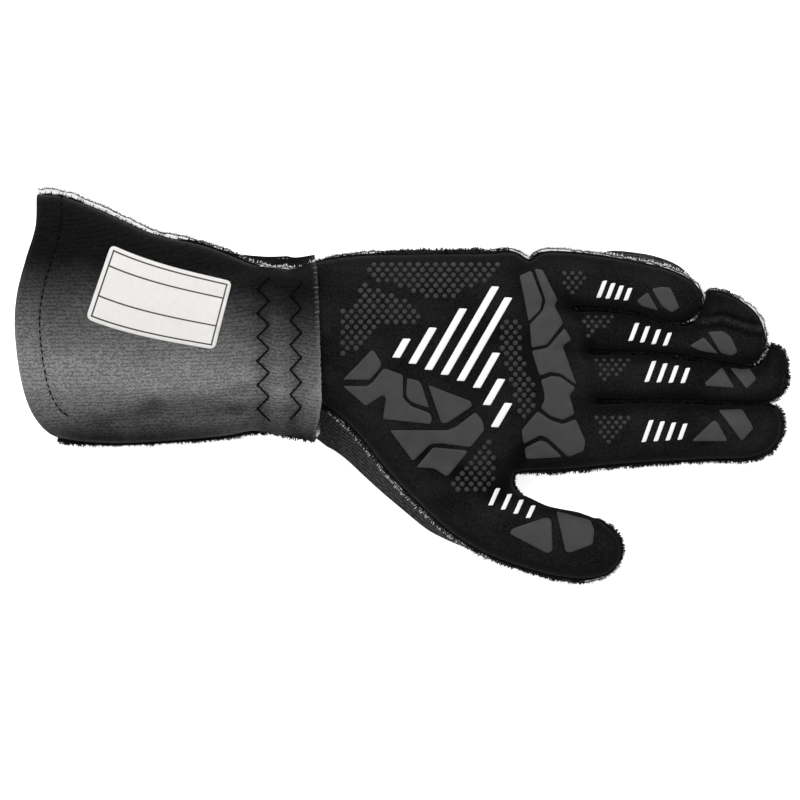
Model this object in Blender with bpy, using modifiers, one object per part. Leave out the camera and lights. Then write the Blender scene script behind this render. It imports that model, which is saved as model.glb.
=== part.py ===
# Karting glove for the right hand, empty, lying palm up on the back of its hand.
#
# The hand is a palm panel and a back panel sewn together with the seam outside, so that
# both seam allowances stand out as a flat lip all round. The cuff is two more panels
# sewn the same way, whose wrist end laps over the hand. Grip pads and a label lie on top.
#
# Frame: +X along the glove to the fingertips, +Y to the little finger side, +Z up out of
# the palm. The origin is under the middle of the glove, on the floor. Tables are in
# millimetres and are turned into metres where they are read.

import math
from collections import namedtuple

import bmesh
import bpy
import numpy as np
from mathutils import Vector
from mathutils.geometry import delaunay_2d_cdt

MM = 0.001

# Cloth and lip
WALL = 0.0011                # thickness of suede, knit and cuff fabric
PLY_GAP = 0.0003             # space kept between two layers that touch
SEAM_STEP = 0.0072           # spacing of the vertices along the seam
FIELD_STEP = 0.0084          # spacing of the vertices inside a panel
CLEAR_SHARE = 0.55           # share of that spacing kept free beside a line of vertices

# How far the palm side swells over the seam
PALM_RIM = 0.0030            # height of the steep wall above the seam
PALM_SWELL = 0.95            # swelling above that wall
PALM_REACH = 0.014           # width of the rounded border of a wide panel
RIM_BEND = 0.0015            # depth over which the swelling starts, so that it starts smoothly
WALL_MIDDLE = 0.55           # share of the steep wall's height at its middle ring
WALL_LEAN = 0.1              # share of a bulge's width that the middle ring takes

# How far the back hangs under the seam
BACK_SWELL = 1.3
BACK_RIM_SHARE = 0.62        # share of the drop that the steep wall takes
TURN_DROP = 0.0023           # straight drop under the lip before the wall turns outwards
TURN_SHARE = 0.4             # largest share of the whole drop that this may take

# Lap of the cuff over the hand
LAP_GAP = 0.0007             # space between the cuff and the hand panels under it
LAP_FADE = 0.018             # length over which the cuff comes down off the hand panels
LAP_RISE_SHARE = 0.75        # share of that length over which it rises before the lap
LAP_HOLD_SHARE = 0.1         # share of that length for which it stays up past the lap
CORNER_STRETCH = 1.1         # how much further a point goes that moves along its normal
# Pads and label
PAD_THICKNESS = 0.0006
LABEL_THICKNESS = 0.0006

# Sections of the glove. Each has a point on the seam at the little finger side and one at
# the thumb side: its place along and across the glove, its height over the floor, and how
# wide the seam allowance is there.
Section = namedtuple(
    "Section",
    "name little_along little_across little_height little_lip "
    "thumb_along thumb_across thumb_height thumb_lip",
)
TRUNK = (
    Section("mouth", -156.6, 80.2, 15.5, 4.6, -149.5, -21.2, 15.5, 4.2),
    Section("hem", -147.0, 79.6, 15.5, 4.6, -140.0, -22.8, 15.5, 4.2),
    Section("flare", -130.0, 73.6, 15.0, 4.4, -125.0, -23.6, 15.0, 4.2),
    Section("label", -108.4, 63.8, 14.0, 4.0, -104.0, -22.8, 14.0, 4.0),
    Section("forearm", -84.0, 58.0, 13.0, 3.8, -84.0, -21.0, 13.0, 4.0),
    Section("gather", -60.2, 48.8, 11.5, 3.6, -61.0, -18.9, 12.0, 4.0),
    Section("lap_start", -48.2, 47.4, 11.5, 3.6, -46.0, -19.0, 12.5, 4.6),
    Section("cuff_edge", -35.3, 51.4, 11.5, 3.6, -35.0, -15.6, 13.0, 3.8),
    Section("heel", -20.0, 53.8, 11.0, 3.6, -22.4, -19.8, 13.5, 3.6),
    Section("palm", 4.0, 54.6, 10.5, 3.7, -0.9, -42.1, 14.0, 3.6),
    Section("upper_palm", 38.0, 55.0, 10.0, 3.7, 20.6, -62.4, 13.5, 3.6),
    Section("dent", 54.2, 53.2, 9.5, 3.7, 32.0, -69.2, 12.5, 3.6),
    Section("knuckle", 68.0, 55.0, 9.0, 3.6, 44.0, -74.2, 11.5, 3.6),
)
LITTLE_FINGER = (
    Section("root", 85.1, 53.8, 7.8, 3.4, 86.0, 35.0, 9.5, 2.4),
    Section("shaft", 102.3, 50.7, 7.4, 3.4, 102.3, 32.7, 9.6, 2.8),
    Section("pad", 114.8, 47.6, 7.4, 3.5, 110.0, 30.6, 9.6, 2.8),
    Section("end", 123.6, 43.0, 8.0, 3.6, 118.5, 29.0, 9.6, 2.8),
    Section("corner", 126.6, 38.6, 9.0, 3.6, 124.4, 31.0, 9.6, 3.0),
)
RING_FINGER = (
    Section("root", 86.0, 30.2, 6.8, 1.6, 92.0, 16.5, 9.5, 2.6),
    Section("shaft", 102.3, 28.0, 6.6, 1.7, 106.0, 16.0, 9.5, 2.6),
    Section("neck", 116.5, 24.0, 6.6, 1.7, 120.0, 14.6, 9.5, 2.5),
    Section("notch", 126.0, 25.2, 6.6, 1.7, 132.0, 12.7, 9.5, 2.5),
    Section("shoulder", 133.0, 34.6, 6.8, 1.9, 141.0, 11.0, 9.5, 2.6),
    Section("pad", 138.5, 37.2, 7.0, 3.6, 147.6, 10.7, 9.5, 2.8),
    Section("end", 147.5, 33.0, 7.6, 3.8, 153.0, 13.0, 9.2, 3.2),
)
MIDDLE_FINGER = (
    Section("root", 92.0, 11.8, 6.8, 1.6, 96.0, -4.6, 9.5, 2.6),
    Section("shaft", 106.0, 11.3, 6.6, 1.7, 110.0, -4.3, 9.5, 2.8),
    Section("pad", 128.0, 8.6, 6.6, 1.7, 128.0, -4.8, 9.5, 2.8),
    Section("neck", 146.0, 6.0, 6.6, 1.7, 146.0, -5.5, 9.5, 2.8),
    Section("shoulder", 154.6, 7.4, 6.8, 1.7, 155.0, -5.4, 9.4, 3.0),
    Section("end", 160.0, 13.0, 7.2, 3.0, 160.6, -3.0, 9.0, 3.4),
)
INDEX_FINGER = (
    Section("root", 92.0, -9.4, 6.8, 1.6, 68.0, -34.8, 8.0, 3.2),
    Section("shaft", 108.0, -9.0, 6.6, 1.7, 95.0, -32.4, 7.6, 3.0),
    Section("pad", 132.0, -9.8, 6.6, 1.7, 128.0, -30.5, 7.4, 2.9),
    Section("end", 153.0, -11.0, 6.8, 1.6, 151.0, -29.2, 7.2, 3.2),
)
THUMB = (
    Section("root", 50.2, -47.8, 7.5, 2.4, 56.0, -78.0, 10.5, 3.6),
    Section("shaft", 62.0, -53.6, 7.5, 2.4, 68.0, -80.8, 9.5, 3.6),
    Section("pad", 77.0, -56.0, 8.0, 2.8, 80.5, -80.8, 9.0, 3.6),
)

# Points of the seam that lie on the centre of a fingertip or at the foot of a gap
SeamPoint = namedtuple("SeamPoint", "along across height lip")
LITTLE_TIP = SeamPoint(126.9, 34.6, 9.4, 3.4)
RING_TIP = SeamPoint(155.8, 23.0, 8.4, 3.8)
MIDDLE_TIP = SeamPoint(163.0, 5.0, 8.0, 3.8)
INDEX_TIP = SeamPoint(161.8, -19.0, 7.0, 3.6)
THUMB_TIP = SeamPoint(92.9, -67.8, 9.0, 3.4)
LITTLE_RING_GAP = SeamPoint(71.0, 32.8, 8.0, 1.0)
RING_MIDDLE_GAP = SeamPoint(78.0, 14.3, 8.0, 1.0)
MIDDLE_INDEX_GAP = SeamPoint(81.0, -7.1, 8.0, 1.0)
GAP_HALF_WIDTH = 2.25
WEB = (
    SeamPoint(52.0, -35.2, 8.0, 2.8),
    SeamPoint(46.6, -40.0, 7.5, 2.2),
)

# Front edge of the cuff, from the little finger side to the thumb side
MouthPoint = namedtuple("MouthPoint", "along across")
MOUTH = (
    MouthPoint(-157.4, 68.0),
    MouthPoint(-162.0, 54.0),
    MouthPoint(-165.8, 40.0),
    MouthPoint(-166.9, 27.0),
    MouthPoint(-165.0, 7.0),
    MouthPoint(-160.2, -7.0),
)

# Where a panel swells out past the seam: the side, the stretch along it, and how far
Bulge = namedtuple("Bulge", "panel side start end size")
BULGES = (
    Bulge("back", "trunk_thumb", -31.0, 56.0, 14.5),
    Bulge("back", "trunk_little", -80.0, -49.0, 7.0),
    Bulge("back", "little_finger_little", 78.0, 132.0, 3.6),
    Bulge("palm", "thumb_little", 46.0, 84.0, 3.2),
)
PLAIN_BULGE = 0.2            # what every side swells
BULGE_POWER = 0.8            # under 1 makes a bulge blunter than half a sine wave

# How much wider the back panel's allowance is, so that its white inner face shows
Reveal = namedtuple("Reveal", "side width")
REVEALS = (
    Reveal("trunk_little", 1.2),
    Reveal("little_finger_little", 1.2),
    Reveal("ring_finger_little", 0.4),
    Reveal("thumb_thumb", 0.7),
    Reveal("trunk_thumb", 1.2),
)

# Dents of the palm side: start, end, half width and depth
Fold = namedtuple("Fold", "name start_along start_across end_along end_across width depth")
FOLDS = (
    Fold("cuff_crease", -126.0, -20.0, -66.0, -6.0, 7.0, 3.2),
    Fold("wrist_elastic", -59.5, 46.0, -59.5, -18.0, 5.0, 2.6),
    Fold("lap_elastic", -45.5, 46.0, -45.5, -18.0, 4.5, 2.0),
    Fold("thumb_crease", 6.0, -28.0, 40.0, -46.0, 6.0, 2.6),
    Fold("knuckle_crease", 52.0, 50.0, 58.0, -30.0, 6.0, 1.6),
)

# Outlines of the grip pads, each a few corners along and across the glove
PADS = {
    "grip_pad_palm_heel": (
        (-25.8, 15.1), (-11.6, 15.1), (-8.2, 8.6), (-14.2, 2.4), (-25.6, 2.4),
    ),
    "grip_pad_palm_side": (
        (-25.4, -0.4), (-14.6, -0.4), (-7.6, 6.6), (0.4, 4.3), (0.9, -7.0),
        (12.5, -13.2), (11.6, -16.8), (-8.2, -14.6), (-8.2, -4.4), (-16.0, -9.4),
    ),
    "grip_pad_palm_centre": (
        (2.2, 3.0), (8.2, 1.4), (11.8, -9.6), (3.6, -6.6),
    ),
    "grip_pad_palm_upper": (
        (11.6, 0.0), (30.6, -7.2), (29.6, -9.6), (18.6, -16.6), (15.8, -14.8),
    ),
    "grip_pad_palm_low": (
        (-5.0, -19.4), (21.0, -19.0), (31.8, -12.2), (35.0, -18.2), (29.2, -26.6),
        (12.4, -25.6), (4.0, -32.6),
    ),
    "grip_pad_palm_thumb": (
        (13.4, -27.2), (27.8, -28.6), (20.0, -39.0), (15.4, -36.6), (7.0, -35.6),
    ),
    "grip_pad_knuckle_1": (
        (50.8, 46.6), (56.0, 49.2), (60.0, 36.8), (55.2, 29.0), (53.0, 27.4),
    ),
    "grip_pad_knuckle_2": (
        (57.2, 48.0), (67.2, 36.4), (72.6, 20.4), (68.2, 16.8), (61.6, 16.4),
        (56.0, 26.2), (61.6, 36.6),
    ),
    "grip_pad_knuckle_3": (
        (54.4, 26.4), (60.2, 17.0), (59.2, 3.4), (58.6, -3.8), (55.6, 2.2),
    ),
    "grip_pad_knuckle_4": (
        (61.0, 15.4), (69.8, 15.6), (75.2, 2.4), (67.2, 4.2), (60.4, 2.6),
    ),
    "grip_pad_knuckle_5": (
        (60.2, 1.2), (67.0, 2.8), (74.4, 0.4), (73.8, -12.6), (63.4, -13.6), (59.2, -9.8),
    ),
    "grip_pad_knuckle_6": (
        (57.6, -10.8), (63.0, -15.2), (74.2, -14.0), (78.4, -25.8), (72.4, -29.8),
        (60.4, -20.6), (52.4, -24.2), (52.2, -17.8),
    ),
    "grip_pad_little_finger_1": ((100.8, 36.2), (105.8, 40.2), (110.4, 31.6)),
    "grip_pad_little_finger_2": (
        (107.4, 41.2), (114.8, 41.8), (118.4, 33.6), (112.2, 32.6),
    ),
    "grip_pad_ring_finger_1": ((123.6, 16.4), (129.4, 20.6), (136.0, 13.2)),
    "grip_pad_ring_finger_2": (
        (131.4, 22.8), (139.6, 22.2), (143.4, 15.0), (137.6, 13.8),
    ),
    "grip_pad_middle_finger_1": ((130.0, 0.8), (137.0, 5.9), (142.4, -1.6)),
    "grip_pad_middle_finger_2": (
        (140.8, 4.8), (149.8, 4.9), (152.2, 2.4), (148.0, -1.8),
    ),
    "grip_pad_index_finger_1": ((124.4, -24.2), (133.4, -15.2), (139.6, -24.0)),
    "grip_pad_index_finger_2": (
        (136.2, -11.8), (147.2, -12.0), (150.8, -18.4), (146.0, -24.4),
    ),
    "grip_pad_thumb_1": (
        (46.4, -63.4), (47.8, -61.2), (63.8, -57.0), (64.4, -71.6), (47.6, -65.6),
    ),
    "grip_pad_thumb_2": (
        (66.0, -54.6), (80.6, -58.2), (82.4, -66.4), (72.2, -72.0), (68.8, -64.6),
    ),
}

# Corners of the cuff label
LABEL = ((-123.6, 59.6), (-73.0, 44.0), (-80.0, 15.4), (-134.4, 28.2))

# Finishes: colour, roughness
FINISHES = {
    "suede": ((0.011, 0.011, 0.011, 1.0), 0.95),
    "knit": ((0.035, 0.036, 0.038, 1.0), 0.9),
    "cuff_fabric": ((0.13, 0.135, 0.135, 1.0), 0.85),
    "silicone": ((0.055, 0.06, 0.059, 1.0), 0.5),
    "label": ((0.83, 0.83, 0.79, 1.0), 0.7),
}


# Start from an empty scene
def clear_scene():
    for item in list(bpy.data.objects):
        bpy.data.objects.remove(item, do_unlink=True)


# Rise from 0 to 1 with flat ends
def eased(value):
    value = np.clip(value, 0.0, 1.0)
    return value * value * (3.0 - 2.0 * value)


# The seam's control points in order round the glove, from the mouth's little finger side
# to its thumb side, each with the side of the glove that it is on
def seam_controls():
    controls = []

    def little_side(digit, sections):
        for row in sections:
            point = (row.little_along, row.little_across, row.little_height, row.little_lip)
            controls.append((digit + "_little", point))

    def thumb_side(digit, sections):
        for row in reversed(sections):
            point = (row.thumb_along, row.thumb_across, row.thumb_height, row.thumb_lip)
            controls.append((digit + "_thumb", point))

    def gap(foot):
        for step_along, step_across in ((1, 1), (0, 0), (1, -1)):
            along = foot.along + step_along * GAP_HALF_WIDTH
            across = foot.across + step_across * GAP_HALF_WIDTH
            controls.append(("gap", (along, across, foot.height, foot.lip)))

    def digit(name, sections, tip):
        little_side(name, sections)
        controls.append((name + "_little", tuple(tip)))
        thumb_side(name, sections)

    little_side("trunk", TRUNK)
    digit("little_finger", LITTLE_FINGER, LITTLE_TIP)
    gap(LITTLE_RING_GAP)
    digit("ring_finger", RING_FINGER, RING_TIP)
    gap(RING_MIDDLE_GAP)
    digit("middle_finger", MIDDLE_FINGER, MIDDLE_TIP)
    gap(MIDDLE_INDEX_GAP)
    digit("index_finger", INDEX_FINGER, INDEX_TIP)
    for point in WEB:
        controls.append(("web", tuple(point)))
    digit("thumb", THUMB, THUMB_TIP)
    thumb_side("trunk", TRUNK)
    return controls


# A smooth curve through rows of numbers, whose first two columns are a place. Gives the
# sampled rows and, for each, the number of the control point before it.
def smooth_curve(points, step):
    points = np.array(points, dtype=float)
    ends = (2.0 * points[0] - points[1], 2.0 * points[-1] - points[-2])
    padded = np.vstack([ends[0], points, ends[1]])
    rows = []
    owners = []
    for index in range(len(points) - 1):
        before, first, second, after = padded[index:index + 4]
        knots = [0.0]
        for left, right in ((before, first), (first, second), (second, after)):
            knots.append(knots[-1] + math.sqrt(np.linalg.norm(right[:2] - left[:2])))
        count = max(1, round(np.linalg.norm(second[:2] - first[:2]) / step))
        for part in range(count):
            t = knots[1] + (knots[2] - knots[1]) * part / count
            rows.append(curve_point((before, first, second, after), knots, t))
            owners.append(index)
    rows.append(points[-1])
    owners.append(len(points) - 1)
    return np.array(rows), owners


# One point of a centripetal Catmull-Rom curve
def curve_point(four, knots, t):
    def between(one, other, start, end):
        share = (t - start) / (end - start)
        return one * (1.0 - share) + other * share

    first = between(four[0], four[1], knots[0], knots[1])
    second = between(four[1], four[2], knots[1], knots[2])
    third = between(four[2], four[3], knots[2], knots[3])
    early = between(first, second, knots[0], knots[2])
    late = between(second, third, knots[1], knots[3])
    return between(early, late, knots[1], knots[2])


# The seam line sampled round the glove
class SeamLine:
    def __init__(self):
        controls = seam_controls()
        rows, owners = smooth_curve([point for _, point in controls], SEAM_STEP / MM)
        self.place = rows[:, :2] * MM
        self.height = rows[:, 2] * MM
        self.lip = rows[:, 3] * MM
        self.side = [controls[owner][0] for owner in owners]
        self.count = len(rows)
        self.normal = self.outward()
        self.control_row = {}
        for row, owner in enumerate(owners):
            self.control_row.setdefault(owner, row)
        self.palm_bulge = self.bulge("palm")
        self.back_bulge = self.bulge("back")
        self.reveal = self.reveal_widths()

    # Unit vectors that point away from the glove, in the plane of the floor
    def outward(self):
        along = np.gradient(self.place, axis=0)
        along /= np.linalg.norm(along, axis=1)[:, None]
        return np.column_stack([-along[:, 1], along[:, 0]])

    # How far a panel swells out past the seam at each sample
    def bulge(self, panel):
        size = np.full(self.count, PLAIN_BULGE * MM)
        for row in BULGES:
            if row.panel != panel:
                continue
            on_side = np.array([side == row.side for side in self.side])
            share = (self.place[:, 0] / MM - row.start) / (row.end - row.start)
            inside = on_side & (share > 0.0) & (share < 1.0)
            swell = np.sin(np.pi * np.clip(share, 0.0, 1.0)) ** BULGE_POWER
            size = np.where(inside, np.maximum(size, row.size * MM * swell), size)
        return size

    # Extra width of the back panel's lip, blended between the sides
    def reveal_widths(self):
        table = {row.side: row.width * MM for row in REVEALS}
        widths = np.array([table.get(side, 0.0) for side in self.side])
        for _ in range(2):
            widths[1:-1] = (widths[:-2] + 2.0 * widths[1:-1] + widths[2:]) / 4.0
        return widths

    # The samples at the two ends of a trunk section
    def section_ends(self, name):
        number = [row.name for row in TRUNK].index(name)
        last = len(seam_controls()) - 1
        return self.control_row[number], self.control_row[last - number]


# Points along a closed or open chain of corners, no further apart than a step
def divided(corners, step, closed):
    corners = np.array(corners, dtype=float)
    following = np.roll(corners, -1, axis=0) if closed else corners[1:]
    points = []
    for start, end in zip(corners, following):
        count = max(1, math.ceil(np.linalg.norm(end - start) / step))
        for part in range(count):
            points.append(start + (end - start) * part / count)
    if not closed:
        points.append(corners[-1])
    return np.array(points)


# Whether each point lies inside a polygon
def inside(points, polygon):
    found = np.zeros(len(points), dtype=bool)
    following = np.roll(polygon, -1, axis=0)
    for (x1, y1), (x2, y2) in zip(polygon, following):
        if y1 == y2:
            continue
        crosses = (y1 > points[:, 1]) != (y2 > points[:, 1])
        at = x1 + (points[:, 1] - y1) * (x2 - x1) / (y2 - y1)
        found ^= crosses & (points[:, 0] < at)
    return found


# Distance of each point to the nearest of some line pieces
def distance_to(points, starts, ends):
    nearest = np.full(len(points), np.inf)
    for start, end in zip(starts, ends):
        run = end - start
        share = np.clip(((points - start) @ run) / max(run @ run, 1e-18), 0.0, 1.0)
        gap = np.linalg.norm(points - start - share[:, None] * run, axis=1)
        nearest = np.minimum(nearest, gap)
    return nearest


# A panel seen from above: its points and its triangles
class Layout:
    def __init__(self, seam, bulge, outlines):
        self.seam = seam
        rim = seam.place + seam.normal * bulge[:, None]
        mouth = np.array([point[:2] for point in reversed(MOUTH)]) * MM
        border = np.vstack([rim, mouth])
        self.border_count = len(border)
        points = [tuple(point) for point in border]
        edges = []
        for name in ("lap_start", "cuff_edge"):
            little, thumb = seam.section_ends(name)
            chain = divided((border[little], border[thumb]), FIELD_STEP, False)
            self.join(points, edges, chain[1:-1], little, thumb)
        self.outline = {}
        for name, corners in outlines.items():
            polygon = np.array(corners) * MM
            self.outline[name] = polygon
            ring = divided(polygon, FIELD_STEP, True)
            first = len(points)
            points.extend(tuple(point) for point in ring)
            for index in range(len(ring)):
                edges.append((first + index, first + (index + 1) % len(ring)))
        for index in range(self.border_count):
            edges.append((index, (index + 1) % self.border_count))
        points.extend(self.field_points(points, edges, border))
        self.triangulate(points, edges, border)

    # Add a chain of points between two points that are there already
    def join(self, points, edges, chain, start, end):
        first = len(points)
        points.extend(tuple(point) for point in chain)
        order = [start] + list(range(first, first + len(chain))) + [end]
        edges.extend(zip(order[:-1], order[1:]))

    # Points in rows that fill the panel, clear of its edges and outlines
    def field_points(self, points, edges, border):
        low = border.min(axis=0)
        high = border.max(axis=0)
        rows = int((high[1] - low[1]) / (FIELD_STEP * math.sqrt(0.75))) + 1
        columns = int((high[0] - low[0]) / FIELD_STEP) + 1
        grid = []
        for row in range(rows):
            for column in range(columns):
                along = low[0] + (column + 0.5 * (row % 2)) * FIELD_STEP
                grid.append((along, low[1] + row * FIELD_STEP * math.sqrt(0.75)))
        grid = np.array(grid)
        grid = grid[inside(grid, border)]
        places = np.array(points)
        starts = places[[edge[0] for edge in edges]]
        ends = places[[edge[1] for edge in edges]]
        clear = distance_to(grid, starts, ends) > CLEAR_SHARE * FIELD_STEP
        return [tuple(point) for point in grid[clear]]

    # Triangles between the points, inside the border and along the given edges
    def triangulate(self, points, edges, border):
        result = delaunay_2d_cdt(
            [Vector(point) for point in points],
            edges,
            [list(range(self.border_count))],
            1,
            1e-8,
        )
        self.place = np.array([tuple(place) for place in result[0]])
        sources = result[3]
        order = sorted(range(len(sources)), key=lambda i: min(sources[i], default=len(points)))
        new_index = {old: new for new, old in enumerate(order)}
        self.place = self.place[order]
        self.place[:self.border_count] = border
        faces = []
        for face in result[2]:
            face = [new_index[index] for index in face]
            a, b, c = self.place[face]
            turned = (b[0] - a[0]) * (c[1] - a[1]) - (b[1] - a[1]) * (c[0] - a[0])
            faces.append(face if turned > 0.0 else face[::-1])
        self.faces = np.array(faces)

    # Numbers of the triangles whose middles lie inside an outline
    def faces_in(self, name):
        middles = self.place[self.faces].mean(axis=1)
        return np.nonzero(inside(middles, self.outline[name]))[0]

    # Solve a smooth field over the panel: fixed along the seam, free at the mouth. A
    # reach makes the field level off that far from the seam.
    def field(self, fixed, source, reach):
        size = len(self.place)
        matrix = np.zeros((size, size))
        right = np.zeros(size)
        for face in self.faces:
            corners = self.place[face]
            double = abs(np.cross(corners[1] - corners[0], corners[2] - corners[0]))
            double = max(double, 1e-12)
            for turn in range(3):
                a, b, c = face[turn], face[turn - 2], face[turn - 1]
                one = self.place[a] - self.place[c]
                other = self.place[b] - self.place[c]
                weight = max(0.5 * (one @ other) / double, 1e-3)
                matrix[a, a] += weight
                matrix[b, b] += weight
                matrix[a, b] -= weight
                matrix[b, a] -= weight
            for index in face:
                right[index] += source * double / 6.0
                if reach:
                    matrix[index, index] += double / 6.0 / reach ** 2
        held = np.arange(len(fixed))
        matrix[held] = 0.0
        matrix[held, held] = 1.0
        right[held] = fixed
        return np.linalg.solve(matrix, right)


# Height that a swelling adds at each point, from nothing at the rim
def swelling(layout, amount):
    rim = np.zeros(layout.seam.count)
    depth = np.maximum(layout.field(rim, 1.0, PALM_REACH), 0.0)
    return amount * (np.sqrt(depth + RIM_BEND ** 2) - RIM_BEND)


# Depth of the folds at each point
def fold_depth(place):
    total = np.zeros(len(place))
    for row in FOLDS:
        start = np.array((row.start_along, row.start_across)) * MM
        end = np.array((row.end_along, row.end_across)) * MM
        away = distance_to(place, [start], [end]) / (row.width * MM)
        total += row.depth * MM * np.exp(-away ** 2)
    return total


# One side of the whole glove as one open surface: the layout's points at their heights,
# and the rings of points beside the seam
class Surface:
    def __init__(self, layout, rings, heights, face_turn):
        seam = layout.seam
        self.layout = layout
        self.inner_count = len(layout.place)
        columns = np.column_stack([layout.place, heights])
        self.place = np.vstack([columns] + rings)
        self.ring_starts = [0]
        for number in range(len(rings)):
            self.ring_starts.append(self.inner_count + number * seam.count)
        self.face_turn = face_turn

    # Quads between neighbouring rings over a stretch of the seam
    def strips(self, start, end):
        faces = []
        pairs = zip(self.ring_starts[:-1], self.ring_starts[1:])
        for inner, outer in pairs:
            for index in range(start, end):
                quad = [inner + index, inner + index + 1, outer + index + 1, outer + index]
                faces.append(quad)
        return faces

    # Faces of the panel between two stretches, turned to face outwards
    def faces(self, keep_face, stretches):
        kept = [list(face) for face, keep in zip(self.layout.faces, keep_face) if keep]
        for start, end in stretches:
            kept.extend(self.strips(start, end))
        if self.face_turn < 0:
            kept = [face[::-1] for face in kept]
        return kept


# A ring of points beside the seam, at a sideways offset and a height
def ring(seam, offset, height):
    place = seam.place + seam.normal * offset[:, None]
    return np.column_stack([place, height])


# Upper surface: the palm side from the lip over the steep wall to the swollen middle
def palm_surface(seam, layout):
    level = seam.height + 0.5 * PLY_GAP
    rim = layout.field(level + PALM_RIM, 0.0, None)
    rise = swelling(layout, PALM_SWELL)
    fold = fold_depth(layout.place) * rise / (rise + PALM_RIM)
    lip = seam.lip - seam.reveal
    rings = [
        ring(seam, WALL_LEAN * seam.palm_bulge, level + WALL_MIDDLE * PALM_RIM),
        ring(seam, np.zeros(seam.count), level),
        ring(seam, lip, level),
    ]
    return Surface(layout, rings, rim + rise - fold, 1)


# Share of the lap's extra height at a place along the glove: full where the cuff laps
# over the hand, and fading out on both sides
def lap_share(seam, along):
    lap = seam.place[seam.section_ends("lap_start")[0]][0]
    edge = seam.place[seam.section_ends("cuff_edge")[0]][0]
    rising = eased((along - lap + LAP_FADE) / (LAP_RISE_SHARE * LAP_FADE))
    falling = eased((along - edge - LAP_HOLD_SHARE * LAP_FADE) / LAP_FADE)
    return rising * (1.0 - falling)


# Lower surface: the back from the lip down to the floor
def back_surface(seam, layout):
    level = seam.height - 0.5 * PLY_GAP
    drop = level - WALL
    turn = level - np.minimum(TURN_DROP, TURN_SHARE * drop)
    rim = layout.field(level - BACK_RIM_SHARE * drop, 0.0, None)
    lowest = WALL + (WALL + LAP_GAP) * lap_share(seam, layout.place[:, 0])
    height = np.maximum(rim - swelling(layout, BACK_SWELL), lowest)
    rings = [
        ring(seam, WALL_LEAN * seam.back_bulge, turn),
        ring(seam, np.zeros(seam.count), level),
        ring(seam, seam.lip, level),
    ]
    return Surface(layout, rings, height, -1)


# Averaged directions of a surface at its points
def point_normals(surface):
    every = [True] * len(surface.layout.faces)
    faces = surface.faces(every, [(0, surface.layout.seam.count - 1)])
    total = np.zeros_like(surface.place)
    for face in faces:
        a, b, c = surface.place[face[:3]]
        across = np.cross(b - a, c - a)
        if len(face) == 4:
            a, b, c = surface.place[[face[2], face[3], face[0]]]
            across = across + np.cross(b - a, c - a)
        total[face] += across / max(np.linalg.norm(across), 1e-12)
    length = np.linalg.norm(total, axis=1)
    return total / np.maximum(length, 1e-9)[:, None]


# Move a surface outwards, by a distance for each point. Points of the rings beside the
# seam move up or down and sideways by that much, which keeps the rings apart.
def pushed_out(surface, distance):
    seam = surface.layout.seam
    normals = point_normals(surface)
    moved = surface.place + normals * CORNER_STRETCH * distance[:, None]
    for start in surface.ring_starts:
        rows = slice(start, start + seam.count)
        sideways = seam.normal * distance[rows, None]
        if start == surface.ring_starts[-1]:
            sideways = np.zeros_like(sideways)
        moved[rows, :2] = surface.place[rows, :2] + sideways
        moved[rows, 2] = surface.place[rows, 2] + surface.face_turn * distance[rows]
    return moved


# A material with one colour
def finish(name):
    found = bpy.data.materials.get(name)
    if found:
        return found
    color, roughness = FINISHES[name]
    material = bpy.data.materials.new(name)
    material.use_nodes = True
    shader = material.node_tree.nodes["Principled BSDF"]
    shader.inputs["Base Color"].default_value = color
    shader.inputs["Roughness"].default_value = roughness
    shader.inputs["Metallic"].default_value = 0.0
    return material


# An object with a wall, from an open surface whose faces point away from the wall's inside
def walled_object(name, place, faces, thickness, material, collection):
    used = sorted({index for face in faces for index in face})
    new_index = {old: new for new, old in enumerate(used)}
    mesh = bpy.data.meshes.new(name)
    corners = [tuple(place[index]) for index in used]
    mesh.from_pydata(corners, [], [[new_index[index] for index in face] for face in faces])
    triangulated(mesh)
    mesh.materials.append(finish(material))
    mesh.shade_smooth()
    made = bpy.data.objects.new(name, mesh)
    collection.objects.link(made)
    wall = made.modifiers.new("wall", "SOLIDIFY")
    wall.thickness = thickness
    wall.offset = 1.0
    wall.use_even_offset = True
    wall.use_rim = True
    return made, used


# Cut the quads of a mesh into triangles
def triangulated(mesh):
    editing = bmesh.new()
    editing.from_mesh(mesh)
    bmesh.ops.triangulate(editing, faces=editing.faces[:])
    editing.to_mesh(mesh)
    editing.free()


# Outer side of a walled object, by the numbers of its surface's points
def outer_places(made, used, place):
    graph = bpy.context.evaluated_depsgraph_get()
    mesh = made.evaluated_get(graph).data
    count = len(used)
    both = np.array([tuple(vertex.co) for vertex in mesh.vertices])
    outer = place.copy()
    shift_first = np.abs(both[:count] - place[used]).max()
    outer[used] = both[count:2 * count] if shift_first < 1e-6 else both[:count]
    return outer


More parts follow.
